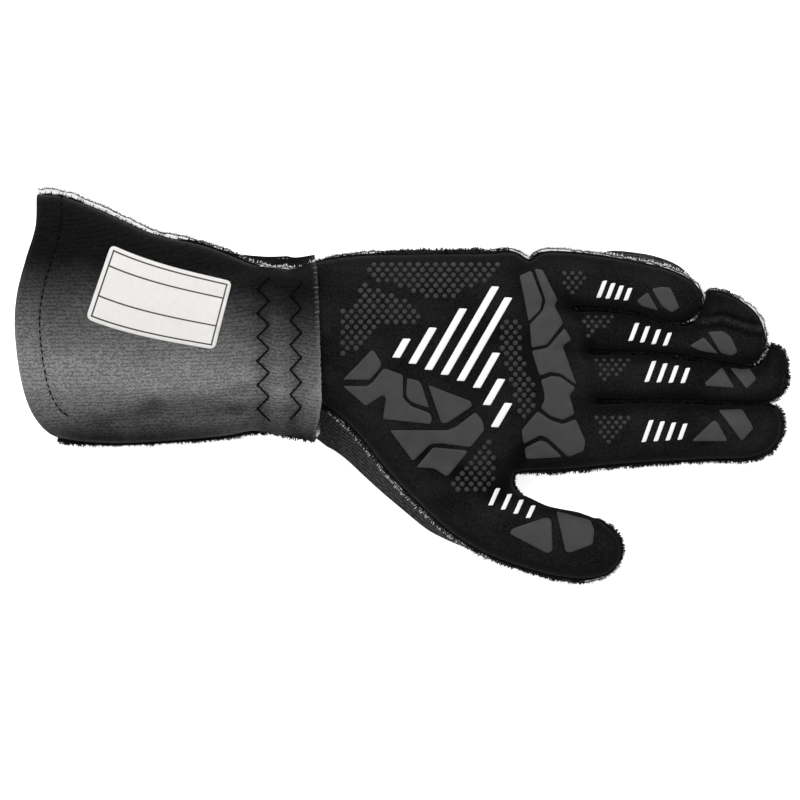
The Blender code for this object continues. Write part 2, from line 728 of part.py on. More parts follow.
# Build the panels of one side of the glove
def panels(surface, seam, side, collection):
    lap = seam.section_ends("lap_start")
    edge = seam.section_ends("cuff_edge")
    layout = surface.layout
    border = layout.place
    middles = layout.place[layout.faces].mean(axis=1)

    # Whether each triangle lies past a cut across the glove
    def past(ends):
        start = border[ends[0]]
        run = border[ends[1]] - start
        offset = middles - start
        return run[0] * offset[:, 1] - run[1] * offset[:, 0] > 0.0

    hand_faces = surface.faces(past(lap), [(lap[0], lap[1])])
    hand_name = side + "_panel"
    hand_finish = "suede" if side == "palm" else "knit"
    hand, hand_used = walled_object(
        hand_name, surface.place, hand_faces, WALL, hand_finish, collection
    )
    last = seam.count - 1
    cuff_faces = surface.faces(~past(edge), [(0, edge[0]), (edge[1], last)])
    share = lap_share(seam, np.minimum(surface.place[:, 0], seam.place[edge[0]][0]))
    lifted = pushed_out(surface, share * (WALL + LAP_GAP))
    if side == "back":
        lifted[:, 2] = np.maximum(lifted[:, 2], WALL)
    cuff, cuff_used = walled_object(
        "cuff_" + side + "_panel", lifted, cuff_faces, WALL, "cuff_fabric", collection
    )
    return (hand, hand_used, surface.place), (cuff, cuff_used, lifted)


# A thin piece that lies on part of a panel
def patch(name, carrier, surface, thickness, material, collection):
    made, used, place = carrier
    layout = surface.layout
    outer = outer_places(made, used, place)
    lift = point_normals(surface) * PLY_GAP
    faces = [list(layout.faces[number]) for number in layout.faces_in(name)]
    walled_object(name, outer + lift, faces, thickness, material, collection)


def main():
    clear_scene()
    collection = bpy.data.collections.new("karting_glove")
    bpy.context.scene.collection.children.link(collection)
    seam = SeamLine()
    outlines = dict(PADS)
    outlines["label_patch"] = LABEL
    palm_layout = Layout(seam, seam.palm_bulge, outlines)
    back_layout = Layout(seam, seam.back_bulge, {})
    upper = palm_surface(seam, palm_layout)
    lower = back_surface(seam, back_layout)
    hand, cuff = panels(upper, seam, "palm", collection)
    panels(lower, seam, "back", collection)
    for name in PADS:
        patch(name, hand, upper, PAD_THICKNESS, "silicone", collection)
    patch("label_patch", cuff, upper, LABEL_THICKNESS, "label", collection)


main()
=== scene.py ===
# Karting glove for the right hand, lying palm up: black suede palm with grey grip pads,
# a charcoal knit back whose white inner face shows along the seams, and a long ribbed cuff.
# Lengths in the tables are in millimetres; the scene is in metres, in the part's own frame.
import math

import bpy
import numpy as np
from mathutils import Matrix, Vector, noise
from mathutils.bvhtree import BVHTree
from mathutils.geometry import delaunay_2d_cdt
from mathutils.kdtree import KDTree


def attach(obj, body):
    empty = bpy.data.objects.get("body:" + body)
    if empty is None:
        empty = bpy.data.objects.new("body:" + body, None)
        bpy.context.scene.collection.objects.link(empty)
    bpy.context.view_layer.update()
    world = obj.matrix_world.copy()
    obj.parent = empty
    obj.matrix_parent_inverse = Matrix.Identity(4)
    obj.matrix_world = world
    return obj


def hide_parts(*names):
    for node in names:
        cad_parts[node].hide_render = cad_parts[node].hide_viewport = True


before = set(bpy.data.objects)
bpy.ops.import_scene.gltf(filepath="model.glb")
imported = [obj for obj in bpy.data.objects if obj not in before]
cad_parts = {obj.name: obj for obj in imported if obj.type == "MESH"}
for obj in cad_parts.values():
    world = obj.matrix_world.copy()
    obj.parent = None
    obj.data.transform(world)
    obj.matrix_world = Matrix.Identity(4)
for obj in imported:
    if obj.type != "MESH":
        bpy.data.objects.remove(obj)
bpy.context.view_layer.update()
mm = 0.001

# The photograph: its scale, and the pixel that lies over the glove's origin
photo = {"mmPerPixel": 0.43, "originColumn": 402.0, "originRow": 385.0, "pixels": 800}

# Cloth of the shell
shell = {
    "wall": 1.1,           # thickness of suede, knit and cuff fabric
    "plyGap": 0.3,         # space between the two seam allowances
    "seamStep": 0.9,       # spacing of the vertices along the seam
    "fieldStep": 1.15,     # spacing of the vertices inside a panel
    "palmRim": 3.3,        # height of the steep wall over the palm's lip
    "palmSwell": 0.95,     # how strongly the palm rounds up inside its border
    "backSwell": 1.3,      # and the back down
    "swellReach": 14.0,    # width of the rounded border
    "swellBend": 1.5,      # softness of the start of the rounding
    "backRimShare": 0.62,  # share of the back's height that its steep rim takes
    "plainBulge": 0.2,     # swelling past the seam where no table gives one
    "lapGap": 0.7,         # space between the cuff and the hand that it laps over
    "lapFade": 18.0,       # length over which the lap's lift fades out
    "fuzzRoom": 0.35,      # how much narrower the lips are for their fuzz
    "leastLip": 1.7,
    "hiddenLip": 0.9,      # part of the lip that the white band never takes
    "smoothings": 12,      # rounds of averaging for a table read along the seam
}

# Sections of the glove: on the little finger side and on the thumb side, the seam's place
# along and across, its height, and the width of the seam allowance
trunkSections = {
    "mouth": ((-156.6, 80.2, 15.5, 4.6), (-149.5, -21.2, 15.5, 4.2)),
    "hem": ((-147.0, 79.6, 15.5, 4.6), (-140.0, -22.8, 15.5, 4.2)),
    "flare": ((-130.0, 73.6, 15.0, 4.2), (-125.0, -23.6, 15.0, 2.4)),
    "label": ((-108.4, 63.8, 14.0, 3.9), (-104.0, -22.8, 14.0, 2.4)),
    "forearm": ((-84.0, 58.0, 13.0, 3.8), (-76.0, -20.4, 12.6, 3.0)),
    "gather": ((-60.2, 48.8, 11.5, 3.6), (-61.0, -17.9, 12.0, 2.8)),
    "lapStart": ((-48.2, 47.4, 11.5, 3.6), (-46.0, -19.0, 12.5, 4.6)),
    "cuffEdge": ((-35.3, 51.4, 11.5, 3.6), (-35.0, -15.6, 13.0, 3.8)),
    "heel": ((-20.0, 53.8, 11.0, 3.6), (-22.4, -19.8, 13.5, 3.6)),
    "palm": ((4.0, 54.6, 10.5, 3.7), (-0.9, -42.1, 14.0, 3.6)),
    "upperPalm": ((38.0, 55.0, 10.0, 3.7), (20.6, -62.4, 13.5, 3.6)),
    "dent": ((54.8, 51.8, 9.5, 3.7), (32.0, -68.6, 12.5, 3.6)),
    "knuckle": ((68.0, 55.4, 9.0, 3.6), (44.0, -74.0, 11.5, 3.6)),
}
# One more row on the little finger side after each of these sections
extraRows = {"upperPalm": (47.2, 55.4, 9.7, 3.7), "dent": (60.6, 55.0, 9.3, 3.7)}
# Each digit: its sections from the root to the end, and the rows round its tip
digits = {
    "littleFinger": ((
        ((85.1, 53.8, 7.8, 3.4), (86.0, 35.0, 9.5, 2.7)),
        ((102.3, 50.7, 7.4, 3.4), (102.3, 32.7, 9.6, 2.8)),
        ((114.8, 47.6, 7.4, 3.5), (110.0, 30.6, 9.6, 2.8)),
        ((123.6, 43.0, 8.0, 3.6), (118.5, 29.0, 9.6, 2.8)),
        ((126.6, 38.6, 9.0, 3.6), (124.4, 31.0, 9.6, 3.0)),
    ), ((126.9, 34.6, 9.4, 3.4),)),
    "ringFinger": ((
        ((86.0, 30.2, 6.8, 2.8), (92.0, 16.5, 9.5, 2.8)),
        ((102.3, 28.0, 6.6, 2.5), (106.0, 16.0, 9.5, 2.8)),
        ((116.5, 24.0, 6.6, 2.5), (120.0, 14.6, 9.5, 2.8)),
        ((126.0, 25.4, 6.6, 2.5), (132.0, 12.7, 9.5, 2.8)),
        ((130.4, 33.8, 6.8, 2.4), (136.0, 11.8, 9.5, 2.8)),
        ((132.8, 38.3, 7.0, 3.3), (141.0, 11.0, 9.5, 2.8)),
        ((138.0, 37.9, 7.0, 3.5), (147.6, 10.9, 9.5, 2.8)),
        ((146.4, 33.4, 7.5, 3.7), (152.0, 12.8, 9.2, 3.2)),
    ), ((151.4, 28.6, 8.0, 3.7), (153.8, 22.4, 8.4, 3.7), (154.3, 16.8, 8.8, 3.5))),
    "middleFinger": ((
        ((92.0, 11.8, 6.8, 2.8), (96.0, -4.6, 9.5, 2.8)),
        ((106.0, 11.3, 6.6, 2.5), (110.0, -4.3, 9.5, 2.8)),
        ((128.0, 8.6, 6.6, 2.5), (128.0, -4.8, 9.5, 2.8)),
        ((146.0, 6.0, 6.6, 2.5), (146.0, -5.5, 9.5, 2.8)),
        ((154.6, 7.4, 6.8, 2.5), (155.0, -5.4, 9.4, 3.0)),
        ((159.6, 14.8, 7.2, 3.2), (160.6, -3.2, 9.0, 3.2)),
    ), ((162.4, 12.0, 7.6, 3.5), (163.3, 5.4, 8.0, 3.6), (162.6, 0.2, 8.6, 3.5))),
    "indexFinger": ((
        ((92.0, -9.4, 6.8, 2.8), (68.0, -34.8, 8.0, 3.2)),
        ((108.0, -9.0, 6.6, 2.5), (95.0, -32.4, 7.6, 3.0)),
        ((132.0, -9.8, 6.6, 2.5), (128.0, -30.5, 7.4, 2.9)),
        ((153.0, -10.2, 6.8, 2.0), (151.0, -29.4, 7.2, 3.2)),
    ), ((158.6, -10.6, 6.9, 2.8), (161.4, -14.8, 7.0, 3.5), (160.8, -22.0, 7.0, 3.4),
        (156.8, -27.0, 7.1, 3.4))),
    "thumb": ((
        ((50.2, -48.6, 7.5, 1.9), (56.0, -78.0, 10.5, 3.4)),
        ((62.0, -56.0, 7.5, 1.8), (68.0, -80.9, 9.5, 3.4)),
        ((77.0, -58.4, 8.0, 2.0), (79.0, -81.7, 9.0, 3.6)),
    ), ((84.6, -60.4, 8.4, 2.6), (89.6, -64.2, 8.8, 3.2), (92.5, -69.4, 9.0, 3.4),
        (91.4, -75.6, 9.0, 3.4), (87.0, -79.8, 9.0, 3.5))),
}
# Feet of the gaps beside three fingers, the gaps' shape, the crotch of the thumb and the mouth
gapFeet = {"littleFinger": (71.0, 32.8), "ringFinger": (78.0, 14.3), "middleFinger": (81.0, -7.1)}
gapShape = {"halfWidth": 2.25, "height": 8.0, "lip": 3.0}
webPoints = ((54.0, -35.4, 8.0, 3.0), (47.6, -37.0, 7.8, 2.4), (46.4, -42.6, 7.5, 2.2))
mouthPoints = (
    (-156.6, 68.0), (-160.6, 54.0), (-164.2, 40.0), (-165.4, 27.0), (-163.6, 7.0),
    (-160.2, -7.0), (-156.6, -14.4), (-151.8, -20.0),
)

# At the wrist the hand's seam runs inside the cuff's, so each has some rows of its own
ownRows = {
    "Hand": {
        "little": {
            "lapStart": (-48.2, 47.0, 11.5, 1.8),
            "cuffEdge": (-35.3, 51.4, 11.5, 2.8),
        },
        "thumb": {
            "lapStart": (-46.0, -10.0, 12.5, 3.4),
            "cuffEdge": (-34.5, -7.0, 13.0, 3.4),
            "heel": (-22.0, -15.6, 13.5, 3.4),
            "palm": (-0.9, -40.4, 14.0, 3.4),
            "upperPalm": (20.6, -60.9, 13.5, 3.4),
        },
    },
    "Cuff": {
        "little": {
            "lapStart": (-48.2, 46.6, 11.5, 4.4),
            "cuffEdge": (-36.1, 50.0, 11.5, 2.6),
        },
        "thumb": {
            "mouth": (-147.6, -21.2, 15.5, 3.2),
            "hem": (-139.0, -22.6, 15.5, 3.2),
            "lapStart": (-46.0, -19.2, 12.5, 3.8),
            "cuffEdge": (-36.8, -21.4, 12.5, 3.2),
            "heel": (-22.4, -26.0, 13.5, 3.6),
        },
    },
}
# The cuff's edge at the wrist bows out between its ends: places across the glove, and how far
cuffBow = {"across": (-25.0, -19.0, -13.0, -6.0, 8.0, 24.0, 37.0, 53.0),
           "out": (0.0, 0.8, 2.0, 2.8, 2.2, 1.6, 1.0, 0.0)}

# Where a panel swells out past the seam: for each panel and side, places along the glove
# and how far it swells there
bulges = {
    "backHand": {
        "trunkThumb": (
            (-46, -36, -33, -28, -22, -14, -3, 6, 16, 25, 35, 45),
            (9.0, 12.5, 14.0, 14.6, 14.0, 11.4, 8.8, 7.4, 6.4, 3.6, 1.2, 0.2)),
        "littleFingerLittle": ((78, 90, 105, 118, 126), (0.2, 4.2, 5.4, 4.4, 1.0)),
    },
    "backCuff": {"trunkLittle": (
        (-78, -72, -65, -59, -50, -44, -38, -34), (0.2, 2.4, 4.6, 4.7, 6.6, 5.2, 3.8, 3.4))},
    "palmHand": {"thumbLittle": ((46, 54, 65, 76, 86), (0.2, 2.4, 3.2, 2.4, 0.2))},
}
# Width of the white inner face of the back that shows beside the palm's raw edge: for each
# side, places along the glove and widths there
whiteBands = {
    "trunkLittle": ((-160, -110, -95, -72, -62, -55, -50, -44, -34, -8, 5, 33, 42, 49, 56, 62, 80),
                    (2.2, 2.4, 1.7, 0.8, 0.8, 2.7, 3.0, 0.8, 1.1, 0.8, 0.1, 0.1, 1.0, 1.7, 0.8, 1.8,
                     1.2)),
    "littleFingerLittle": ((80, 100, 115, 124, 127), (1.5, 2.0, 2.0, 1.5, 2.2)),
    "ringFingerLittle": ((80, 130, 136, 146, 152, 155), (0.0, 0.1, 1.1, 1.6, 2.2, 2.5)),
    "ringFingerThumb": ((140, 150, 153, 156), (0.0, 0.2, 1.8, 2.2)),
    "web": ((44, 51, 55), (1.6, 1.5, 0.0)),
    "trunkThumb": ((-34, -28, -10, 20, 50, 56), (0.0, 0.85, 0.8, 0.9, 0.9, 0.8)),
    "thumbThumb": ((50, 70, 80, 86, 93), (0.5, 0.4, 0.6, 2.3, 3.0)),
}


# Rise from 0 to 1 with flat ends
def eased(value):
    value = np.clip(value, 0.0, 1.0)
    return value * value * (3.0 - 2.0 * value)


# A bell of height 1 and a given half width
def bell(value, width):
    return np.exp(-(value / width) ** 2)


# Smooth noise at places in metres, stretched by a feature size in millimetres each way
def softNoise(place, size, seed):
    size = np.broadcast_to(np.array(size, float), (3,)) * mm
    full = np.zeros((len(place), 3))
    full[:, :place.shape[1]] = place
    scaled = full / size + np.array((seed * 7.3, seed * 3.1, seed * 5.7))
    return np.array([noise.noise(point) for point in scaled.tolist()])


# Soft noise along the seam
def seamNoise(seam, size, seed):
    return softNoise(np.column_stack([seam["travel"], np.zeros(seam["count"])]), size, seed)


# Soft waves of a surface: height in millimetres, feature size and seed of each
def waves(place, *rows):
    return sum(height * mm * softNoise(place, size, seed) for height, size, seed in rows)


# A centripetal Catmull-Rom curve through rows of numbers whose first two are a place. Gives
# the sampled rows and, for each, the number of the control row before it.
def smoothCurve(controls, step):
    points = np.array(controls, dtype=float)
    padded = np.vstack([2.0 * points[0] - points[1], points, 2.0 * points[-1] - points[-2]])
    rows = []
    owners = []
    for index in range(len(points) - 1):
        four = padded[index:index + 4]
        spans = np.sqrt(np.linalg.norm(np.diff(four[:, :2], axis=0), axis=1))
        knots = np.concatenate([[0.0], np.cumsum(spans)])
        length = np.linalg.norm(four[2, :2] - four[1, :2])
        count = max(1, round(length / step))
        t = knots[1] + spans[1] * np.arange(count)[:, None] / count

        def between(one, other, start, end):
            share = (t - knots[start]) / (knots[end] - knots[start])
            return one * (1.0 - share) + other * share

        first = between(four[0], four[1], 0, 1)
        second = between(four[1], four[2], 1, 2)
        third = between(four[2], four[3], 2, 3)
        rows.append(between(between(first, second, 0, 2), between(second, third, 1, 3), 1, 2))
        owners += [index] * count
    rows.append(points[-1:])
    owners.append(len(points) - 1)
    return np.vstack(rows), np.array(owners)


# The seam's control rows in order round the glove, with the side that each is on
def seamControls(part):
    sides = []
    rows = []

    def add(side, row):
        sides.append(side)
        rows.append(row)

    for name, (little, _) in trunkSections.items():
        add("trunkLittle", ownRows[part]["little"].get(name, little))
        if name in extraRows:
            add("trunkLittle", extraRows[name])
    for name, (sections, tips) in digits.items():
        for little, _ in sections:
            add(name + "Little", little)
        for number, tip in enumerate(tips):
            add(name + ("Little" if number < len(tips) / 2 else "Thumb"), tip)
        for _, thumb in reversed(sections):
            add(name + "Thumb", thumb)
        if name in gapFeet:
            along, across = gapFeet[name]
            half = gapShape["halfWidth"]
            for stepAlong, stepAcross in ((half, half), (0.0, 0.0), (half, -half)):
                foot = (along + stepAlong, across + stepAcross, gapShape["height"], gapShape["lip"])
                add("gap", foot)
        if name == "indexFinger":
            for row in webPoints:
                add("web", row)
    for name, (_, thumb) in reversed(list(trunkSections.items())):
        add("trunkThumb", ownRows[part]["thumb"].get(name, thumb))
    return sides, rows


# The seam line of the hand or of the cuff sampled round the glove, as columns
def seamLine(part):
    sides, controls = seamControls(part)
    rows, owners = smoothCurve(controls, shell["seamStep"])
    seam = {"place": rows[:, :2] * mm, "height": rows[:, 2] * mm, "lip": rows[:, 3] * mm}
    seam["count"] = len(rows)
    seam["side"] = np.array(sides)[owners]
    along = np.gradient(seam["place"], axis=0)
    along /= np.linalg.norm(along, axis=1)[:, None]
    seam["normal"] = np.column_stack([-along[:, 1], along[:, 0]])
    steps = np.linalg.norm(np.diff(seam["place"], axis=0), axis=1)
    seam["travel"] = np.concatenate([[0.0], np.cumsum(steps)])
    names = list(trunkSections)
    for name in ("lapStart", "cuffEdge"):
        number = names.index(name)
        little = int(np.argmax(owners == number))
        thumb = int(np.argmax(owners == len(controls) - 1 - number))
        seam[name] = (little, thumb)
    for side in ("palm", "back"):
        tables = bulges.get(side + part, {})
        seam[side + "Bulge"] = sideTable(seam, shell["plainBulge"], tables)
    band = sideTable(seam, 0.0, whiteBands) * (1.0 + 0.45 * seamNoise(seam, 9.0, 3))
    seam["band"] = np.clip(band, 0.0, seam["lip"] - shell["hiddenLip"] * mm)
    return seam


# A width at each sample of the seam, read from a table for each side
def sideTable(seam, plain, tables):
    widths = np.full(seam["count"], plain * mm)
    for side, (places, sizes) in tables.items():
        table = np.interp(seam["place"][:, 0] / mm, places, sizes)
        widths = np.where(seam["side"] == side, table * mm, widths)
    return smoothed(widths, shell["smoothings"])


# Average a column with its neighbours some times
def smoothed(column, times):
    column = column.copy()
    for _ in range(times):
        column[1:-1] = (column[:-2] + 2.0 * column[1:-1] + column[2:]) / 4.0
    return column


# Whether each point lies inside a polygon
def insideOf(points, polygon):
    found = np.zeros(len(points), dtype=bool)
    for (x1, y1), (x2, y2) in zip(polygon, np.roll(polygon, -1, axis=0)):
        if y1 == y2:
            continue
        crosses = (y1 > points[:, 1]) != (y2 > points[:, 1])
        found ^= crosses & (points[:, 0] < x1 + (points[:, 1] - y1) * (x2 - x1) / (y2 - y1))
    return found


# Number of the nearest of a set of places and the distance to it, for each point
def nearestTo(points, places):
    tree = KDTree(len(places))
    for index, place in enumerate(places):
        tree.insert((place[0], place[1], 0.0), index)
    tree.balance()
    found = [tree.find((point[0], point[1], 0.0)) for point in points]
    return np.array([row[1] for row in found]), np.array([row[2] for row in found])


def distanceTo(points, places):
    return nearestTo(points, places)[1]


# Distance of each point to a straight line piece
def distanceToLine(points, start, end):
    run = end - start
    share = np.clip(((points - start) @ run) / (run @ run), 0.0, 1.0)
    return np.linalg.norm(points - start - share[:, None] * run, axis=1)


# Points in staggered rows inside a border, clear of a set of places
def fieldPoints(border, places, step):
    low = border.min(axis=0)
    high = border.max(axis=0)
    rise = step * math.sqrt(0.75)
    rows = np.arange(int((high[1] - low[1]) / rise) + 1)
    columns = np.arange(int((high[0] - low[0]) / step) + 1)
    column, row = np.meshgrid(columns, rows)
    grid = np.column_stack([
        (low[0] + (column + 0.5 * (row % 2)) * step).ravel(),
        (low[1] + row * rise).ravel(),
    ])
    grid = grid[insideOf(grid, border)]
    return grid[distanceTo(grid, places) > 0.6 * step]


# Edges of a closed ring of points
def ringEdges(count):
    return [(index, (index + 1) % count) for index in range(count)]


# Two triangles for each four corners, which go round
def quads(a, b, c, d):
    return [np.column_stack([a, b, c]), np.column_stack([a, c, d])]


# Triangles over points inside a border of the first points, keeping the given edges
def triangles(points, edges, borderCount):
    vectors = [Vector(point) for point in points.tolist()]
    result = delaunay_2d_cdt(vectors, edges, [list(range(borderCount))], 1, 1e-9)
    sources = result[3]
    order = sorted(range(len(sources)), key=lambda i: min(sources[i], default=len(points)))
    newIndex = np.empty(len(order), dtype=int)
    newIndex[order] = np.arange(len(order))
    place = np.array([result[0][index][:] for index in order])
    faces = newIndex[np.array(result[2])]
    corners = place[faces]
    one = corners[:, 1] - corners[:, 0]
    other = corners[:, 2] - corners[:, 0]
    turned = one[:, 0] * other[:, 1] - one[:, 1] * other[:, 0]
    faces[turned < 0.0] = faces[turned < 0.0][:, ::-1]
    return place, faces


# A side of the glove seen from above: its points, its triangles, and its mouth
def panelLayout(seam, bulge):
    rim = seam["place"] + seam["normal"] * (bulge + shell["wall"] * mm)[:, None]
    mouth = [rim[-1] / mm] + [np.array(point) for point in reversed(mouthPoints)] + [rim[0] / mm]
    mouth = smoothCurve(mouth, shell["seamStep"])[0][1:-1] * mm
    border = np.vstack([rim, mouth])
    count = len(border)
    points = [border]
    edges = ringEdges(count)
    total = count
    cuts = {}
    for name in ("lapStart", "cuffEdge"):
        little, thumb = seam[name]
        cuts[name] = cutLine(name, border[little], border[thumb])
        number = len(cuts[name]) - 2
        points.append(cuts[name][1:-1])
        chain = [little] + list(range(total, total + number)) + [thumb]
        edges += list(zip(chain[:-1], chain[1:]))
        total += number
    fixed = np.vstack(points)
    field = fieldPoints(border, fixed, shell["fieldStep"] * mm)
    place, faces = triangles(np.vstack([fixed, field]), edges, count)
    mouth = np.vstack([rim[-1:], mouth, rim[:1]])
    return {"seam": seam, "place": place, "faces": faces, "mouth": mouth, "cuts": cuts}


# A cut across a panel from the little finger side to the thumb side
def cutLine(name, start, end):
    count = int(np.linalg.norm(end - start) / (shell["fieldStep"] * mm))
    line = start + (end - start) * np.arange(count + 1)[:, None] / count
    if name == "cuffEdge":
        bow = np.interp(line[1:-1, 1] / mm, cuffBow["across"], cuffBow["out"])
        line[1:-1, 0] += bow * mm
    return line


# Where a cut lies along the glove for each point's place across it
def cutPlace(layout, name, points):
    line = layout["cuts"][name][::-1]
    return np.interp(points[:, 1], line[:, 1], line[:, 0])


solver = {"rounds": 3000, "tolerance": 1e-16, "leastArea": 1e-12, "leastWeight": 1e-3}


# Solve a smooth field over a layout: fixed along the seam, free at the mouth. A reach makes
# the field level off that far from the seam.
def smoothField(layout, fixed, source=0.0, reach=None):
    place = layout["place"]
    faces = layout["faces"]
    count = len(place)
    corners = place[faces]
    one = corners[:, 1] - corners[:, 0]
    other = corners[:, 2] - corners[:, 0]
    double = np.abs(one[:, 0] * other[:, 1] - one[:, 1] * other[:, 0])
    double = np.maximum(double, solver["leastArea"])
    starts = []
    ends = []
    weights = []
    for turn in range(3):
        a, b, c = faces[:, turn], faces[:, turn - 2], faces[:, turn - 1]
        spread = ((place[a] - place[c]) * (place[b] - place[c])).sum(axis=1)
        starts.append(a)
        ends.append(b)
        weights.append(np.maximum(0.5 * spread / double, solver["leastWeight"]))
    starts, ends, weights = map(np.concatenate, (starts, ends, weights))
    mass = np.bincount(faces.ravel(), np.repeat(double / 6.0, 3), count)
    diagonal = np.bincount(starts, weights, count) + np.bincount(ends, weights, count)
    if reach:
        diagonal = diagonal + mass / reach ** 2
    free = np.arange(count) >= len(fixed)

    def applied(values):
        spread = np.bincount(starts, weights * values[ends], count)
        spread += np.bincount(ends, weights * values[starts], count)
        return diagonal * values - spread

    values = np.full(count, float(np.mean(fixed)))
    values[:len(fixed)] = fixed
    rest = np.where(free, source * mass - applied(values), 0.0)
    step = rest / diagonal
    size = rest @ step
    first = size
    for _ in range(solver["rounds"]):
        if size <= solver["tolerance"] * first:
            break
        pushed = np.where(free, applied(step), 0.0)
        share = size / (step @ pushed)
        values = values + share * step
        rest = rest - share * pushed
        after = rest @ (rest / diagonal)
        step = rest / diagonal + (after / size) * step
        size = after
    return values


# Height that the swelling adds at each point, from nothing at the rim
def swelling(layout, amount):
    depth = smoothField(layout, np.zeros(layout["seam"]["count"]), 1.0, shell["swellReach"] * mm)
    bend = shell["swellBend"] * mm
    return amount * (np.sqrt(np.maximum(depth, 0.0) + bend ** 2) - bend)


# A ring of points beside the seam, at sideways offsets and heights
def ringOf(seam, offset, height):
    place = seam["place"] + seam["normal"] * np.broadcast_to(offset, seam["count"])[:, None]
    return np.column_stack([place, np.broadcast_to(height, seam["count"])])


# Folds of the palm side: start, end, half width, depth
folds = (
    ((-130.0, -17.0), (-106.0, -10.0), 4.6, 2.4),
    ((-106.0, -10.0), (-72.0, -10.5), 5.2, 2.6),
    ((6.0, -28.0), (40.0, -46.0), 6.0, 2.4),
    ((52.0, 50.0), (58.0, -30.0), 6.0, 1.4),
    ((71.0, 37.0), (82.0, 18.0), 3.2, 1.5),
    ((79.0, 17.0), (84.0, -3.0), 3.0, 1.3),
    ((73.0, 32.8), (60.0, 34.0), 2.4, 1.3),
    ((80.0, 14.3), (68.0, 15.0), 2.4, 1.3),
    ((83.0, -7.1), (72.0, -6.0), 2.4, 1.3),
    ((52.0, -28.0), (41.0, -45.0), 3.6, 3.6),
)
# Creases of the cuff, given the same way
cuffCreases = (
    ((-74.0, 44.0), (-61.0, 38.0), 1.7, 1.0),
    ((-80.0, 38.0), (-62.0, 30.0), 1.8, 0.9),
    ((-78.0, 22.0), (-63.0, 25.0), 1.8, 0.7),
    ((-52.0, 44.0), (-50.0, 38.0), 1.8, 1.1),
    ((-56.0, 36.0), (-48.0, 30.0), 1.6, 0.8),
    ((-66.0, -2.0), (-88.0, -8.0), 2.2, 0.9),
    ((-62.0, -9.0), (-92.0, -14.0), 2.4, 1.0),
    ((-40.0, -4.0), (-47.0, -14.0), 2.0, 0.8),
    ((-150.0, 30.0), (-128.0, 52.0), 3.0, 0.6),
)
# A rough ridge where an inner seam presses through: pieces of a line, the ridge's height and
# half width, and the groove on each side of it
ridge = {
    "rise": 1.0, "width": 1.1, "groove": 2.6, "grooveAway": 2.3, "grooveWidth": 1.2,
    "uneven": (0.5, 3.0, 40),
    "lines": (
        ((128.0, 26.9), (137.6, 28.2)), ((137.6, 28.2), (146.6, 25.2)),
        ((146.6, 25.2), (153.5, 23.6)),
    ),
}
# Elastic rows of the cuff: place along the glove, swing of the zigzag, length of one tooth,
# depth of the dent and of the groove under the thread, and the two ends across the glove
elasticRows = {
    "lower": {"along": -59.3, "swing": 2.7, "tooth": 5.1, "dent": 2.4, "groove": 0.5,
              "ends": (46.0, -15.2)},
    "upper": {"along": -45.4, "swing": 2.5, "tooth": 5.25, "dent": 1.9, "groove": 0.5,
              "ends": (43.3, -14.6)},
}
elasticWidth = {"dent": 4.8, "groove": 1.1}
# Doubled edges of the cuff: width, how much thicker they are and over what step, the groove of
# their stitches, and how the very edge is rounded off
cuffHem = {"width": 10.7, "rise": 0.35, "step": 1.2, "early": 0.2, "groove": 0.9,
           "grooveWidth": 0.8, "round": 0.5, "roundWidth": 0.7,
           "pucker": 0.2, "puckerPitch": 3.4, "puckerWidth": 2.6}
cuffFold = {"width": 4.4, "rise": 0.45, "step": 1.2, "early": 0.3, "groove": 0.25,
            "grooveWidth": 0.7, "round": 0.55, "roundWidth": 0.8}
# Gathers of the cuff: puffy cells between the elastic rows, and pleats that run out of both.
# A pleat row has its place from the middle of the two, its depth and its half width.
gathers = {"cells": 1.5, "cellWidth": 5.2, "sway": (1.2, 30.0, 5), "lean": 0.9,
           "pleats": ((-16.0, 0.8, 7.5), (12.0, 0.55, 4.0))}


# Depth of folds or creases
def foldDepth(place, rows):
    total = np.zeros(len(place))
    for start, end, width, depth in rows:
        away = distanceToLine(place, np.array(start) * mm, np.array(end) * mm)
        total += depth * mm * bell(away, width * mm)
    return total


# Relief shared by the palm side of the hand and of the cuff
def palmRelief(place):
    total = -foldDepth(place, folds)
    for row in elasticRows.values():
        away = place[:, 0] - row["along"] * mm
        total -= row["dent"] * mm * bell(away, elasticWidth["dent"] * mm)
    away = ridgeDistance(place)
    total += ridge["rise"] * mm * bell(away, ridge["width"] * mm)
    away = away - ridge["grooveAway"] * mm
    total -= ridge["groove"] * mm * bell(away, ridge["grooveWidth"] * mm)
    return total + waves(place, (0.9, 26.0, 1), (0.35, 11.0, 2))


def ridgeDistance(place):
    pieces = [np.array(line) * mm for line in ridge["lines"]]
    nearest = np.min([distanceToLine(place, *piece) for piece in pieces], axis=0)
    return np.abs(nearest + waves(place, ridge["uneven"]))


# Relief of a doubled edge at some distances from it
def doubledEdge(away, look):
    width = look["width"] * mm
    thick = 1.0 - eased((away - width + look["early"] * mm) / (look["step"] * mm))
    total = look["rise"] * mm * thick
    total -= look["groove"] * mm * bell(away - width, look["grooveWidth"] * mm)
    return total - look["round"] * mm * bell(away, look["roundWidth"] * mm)


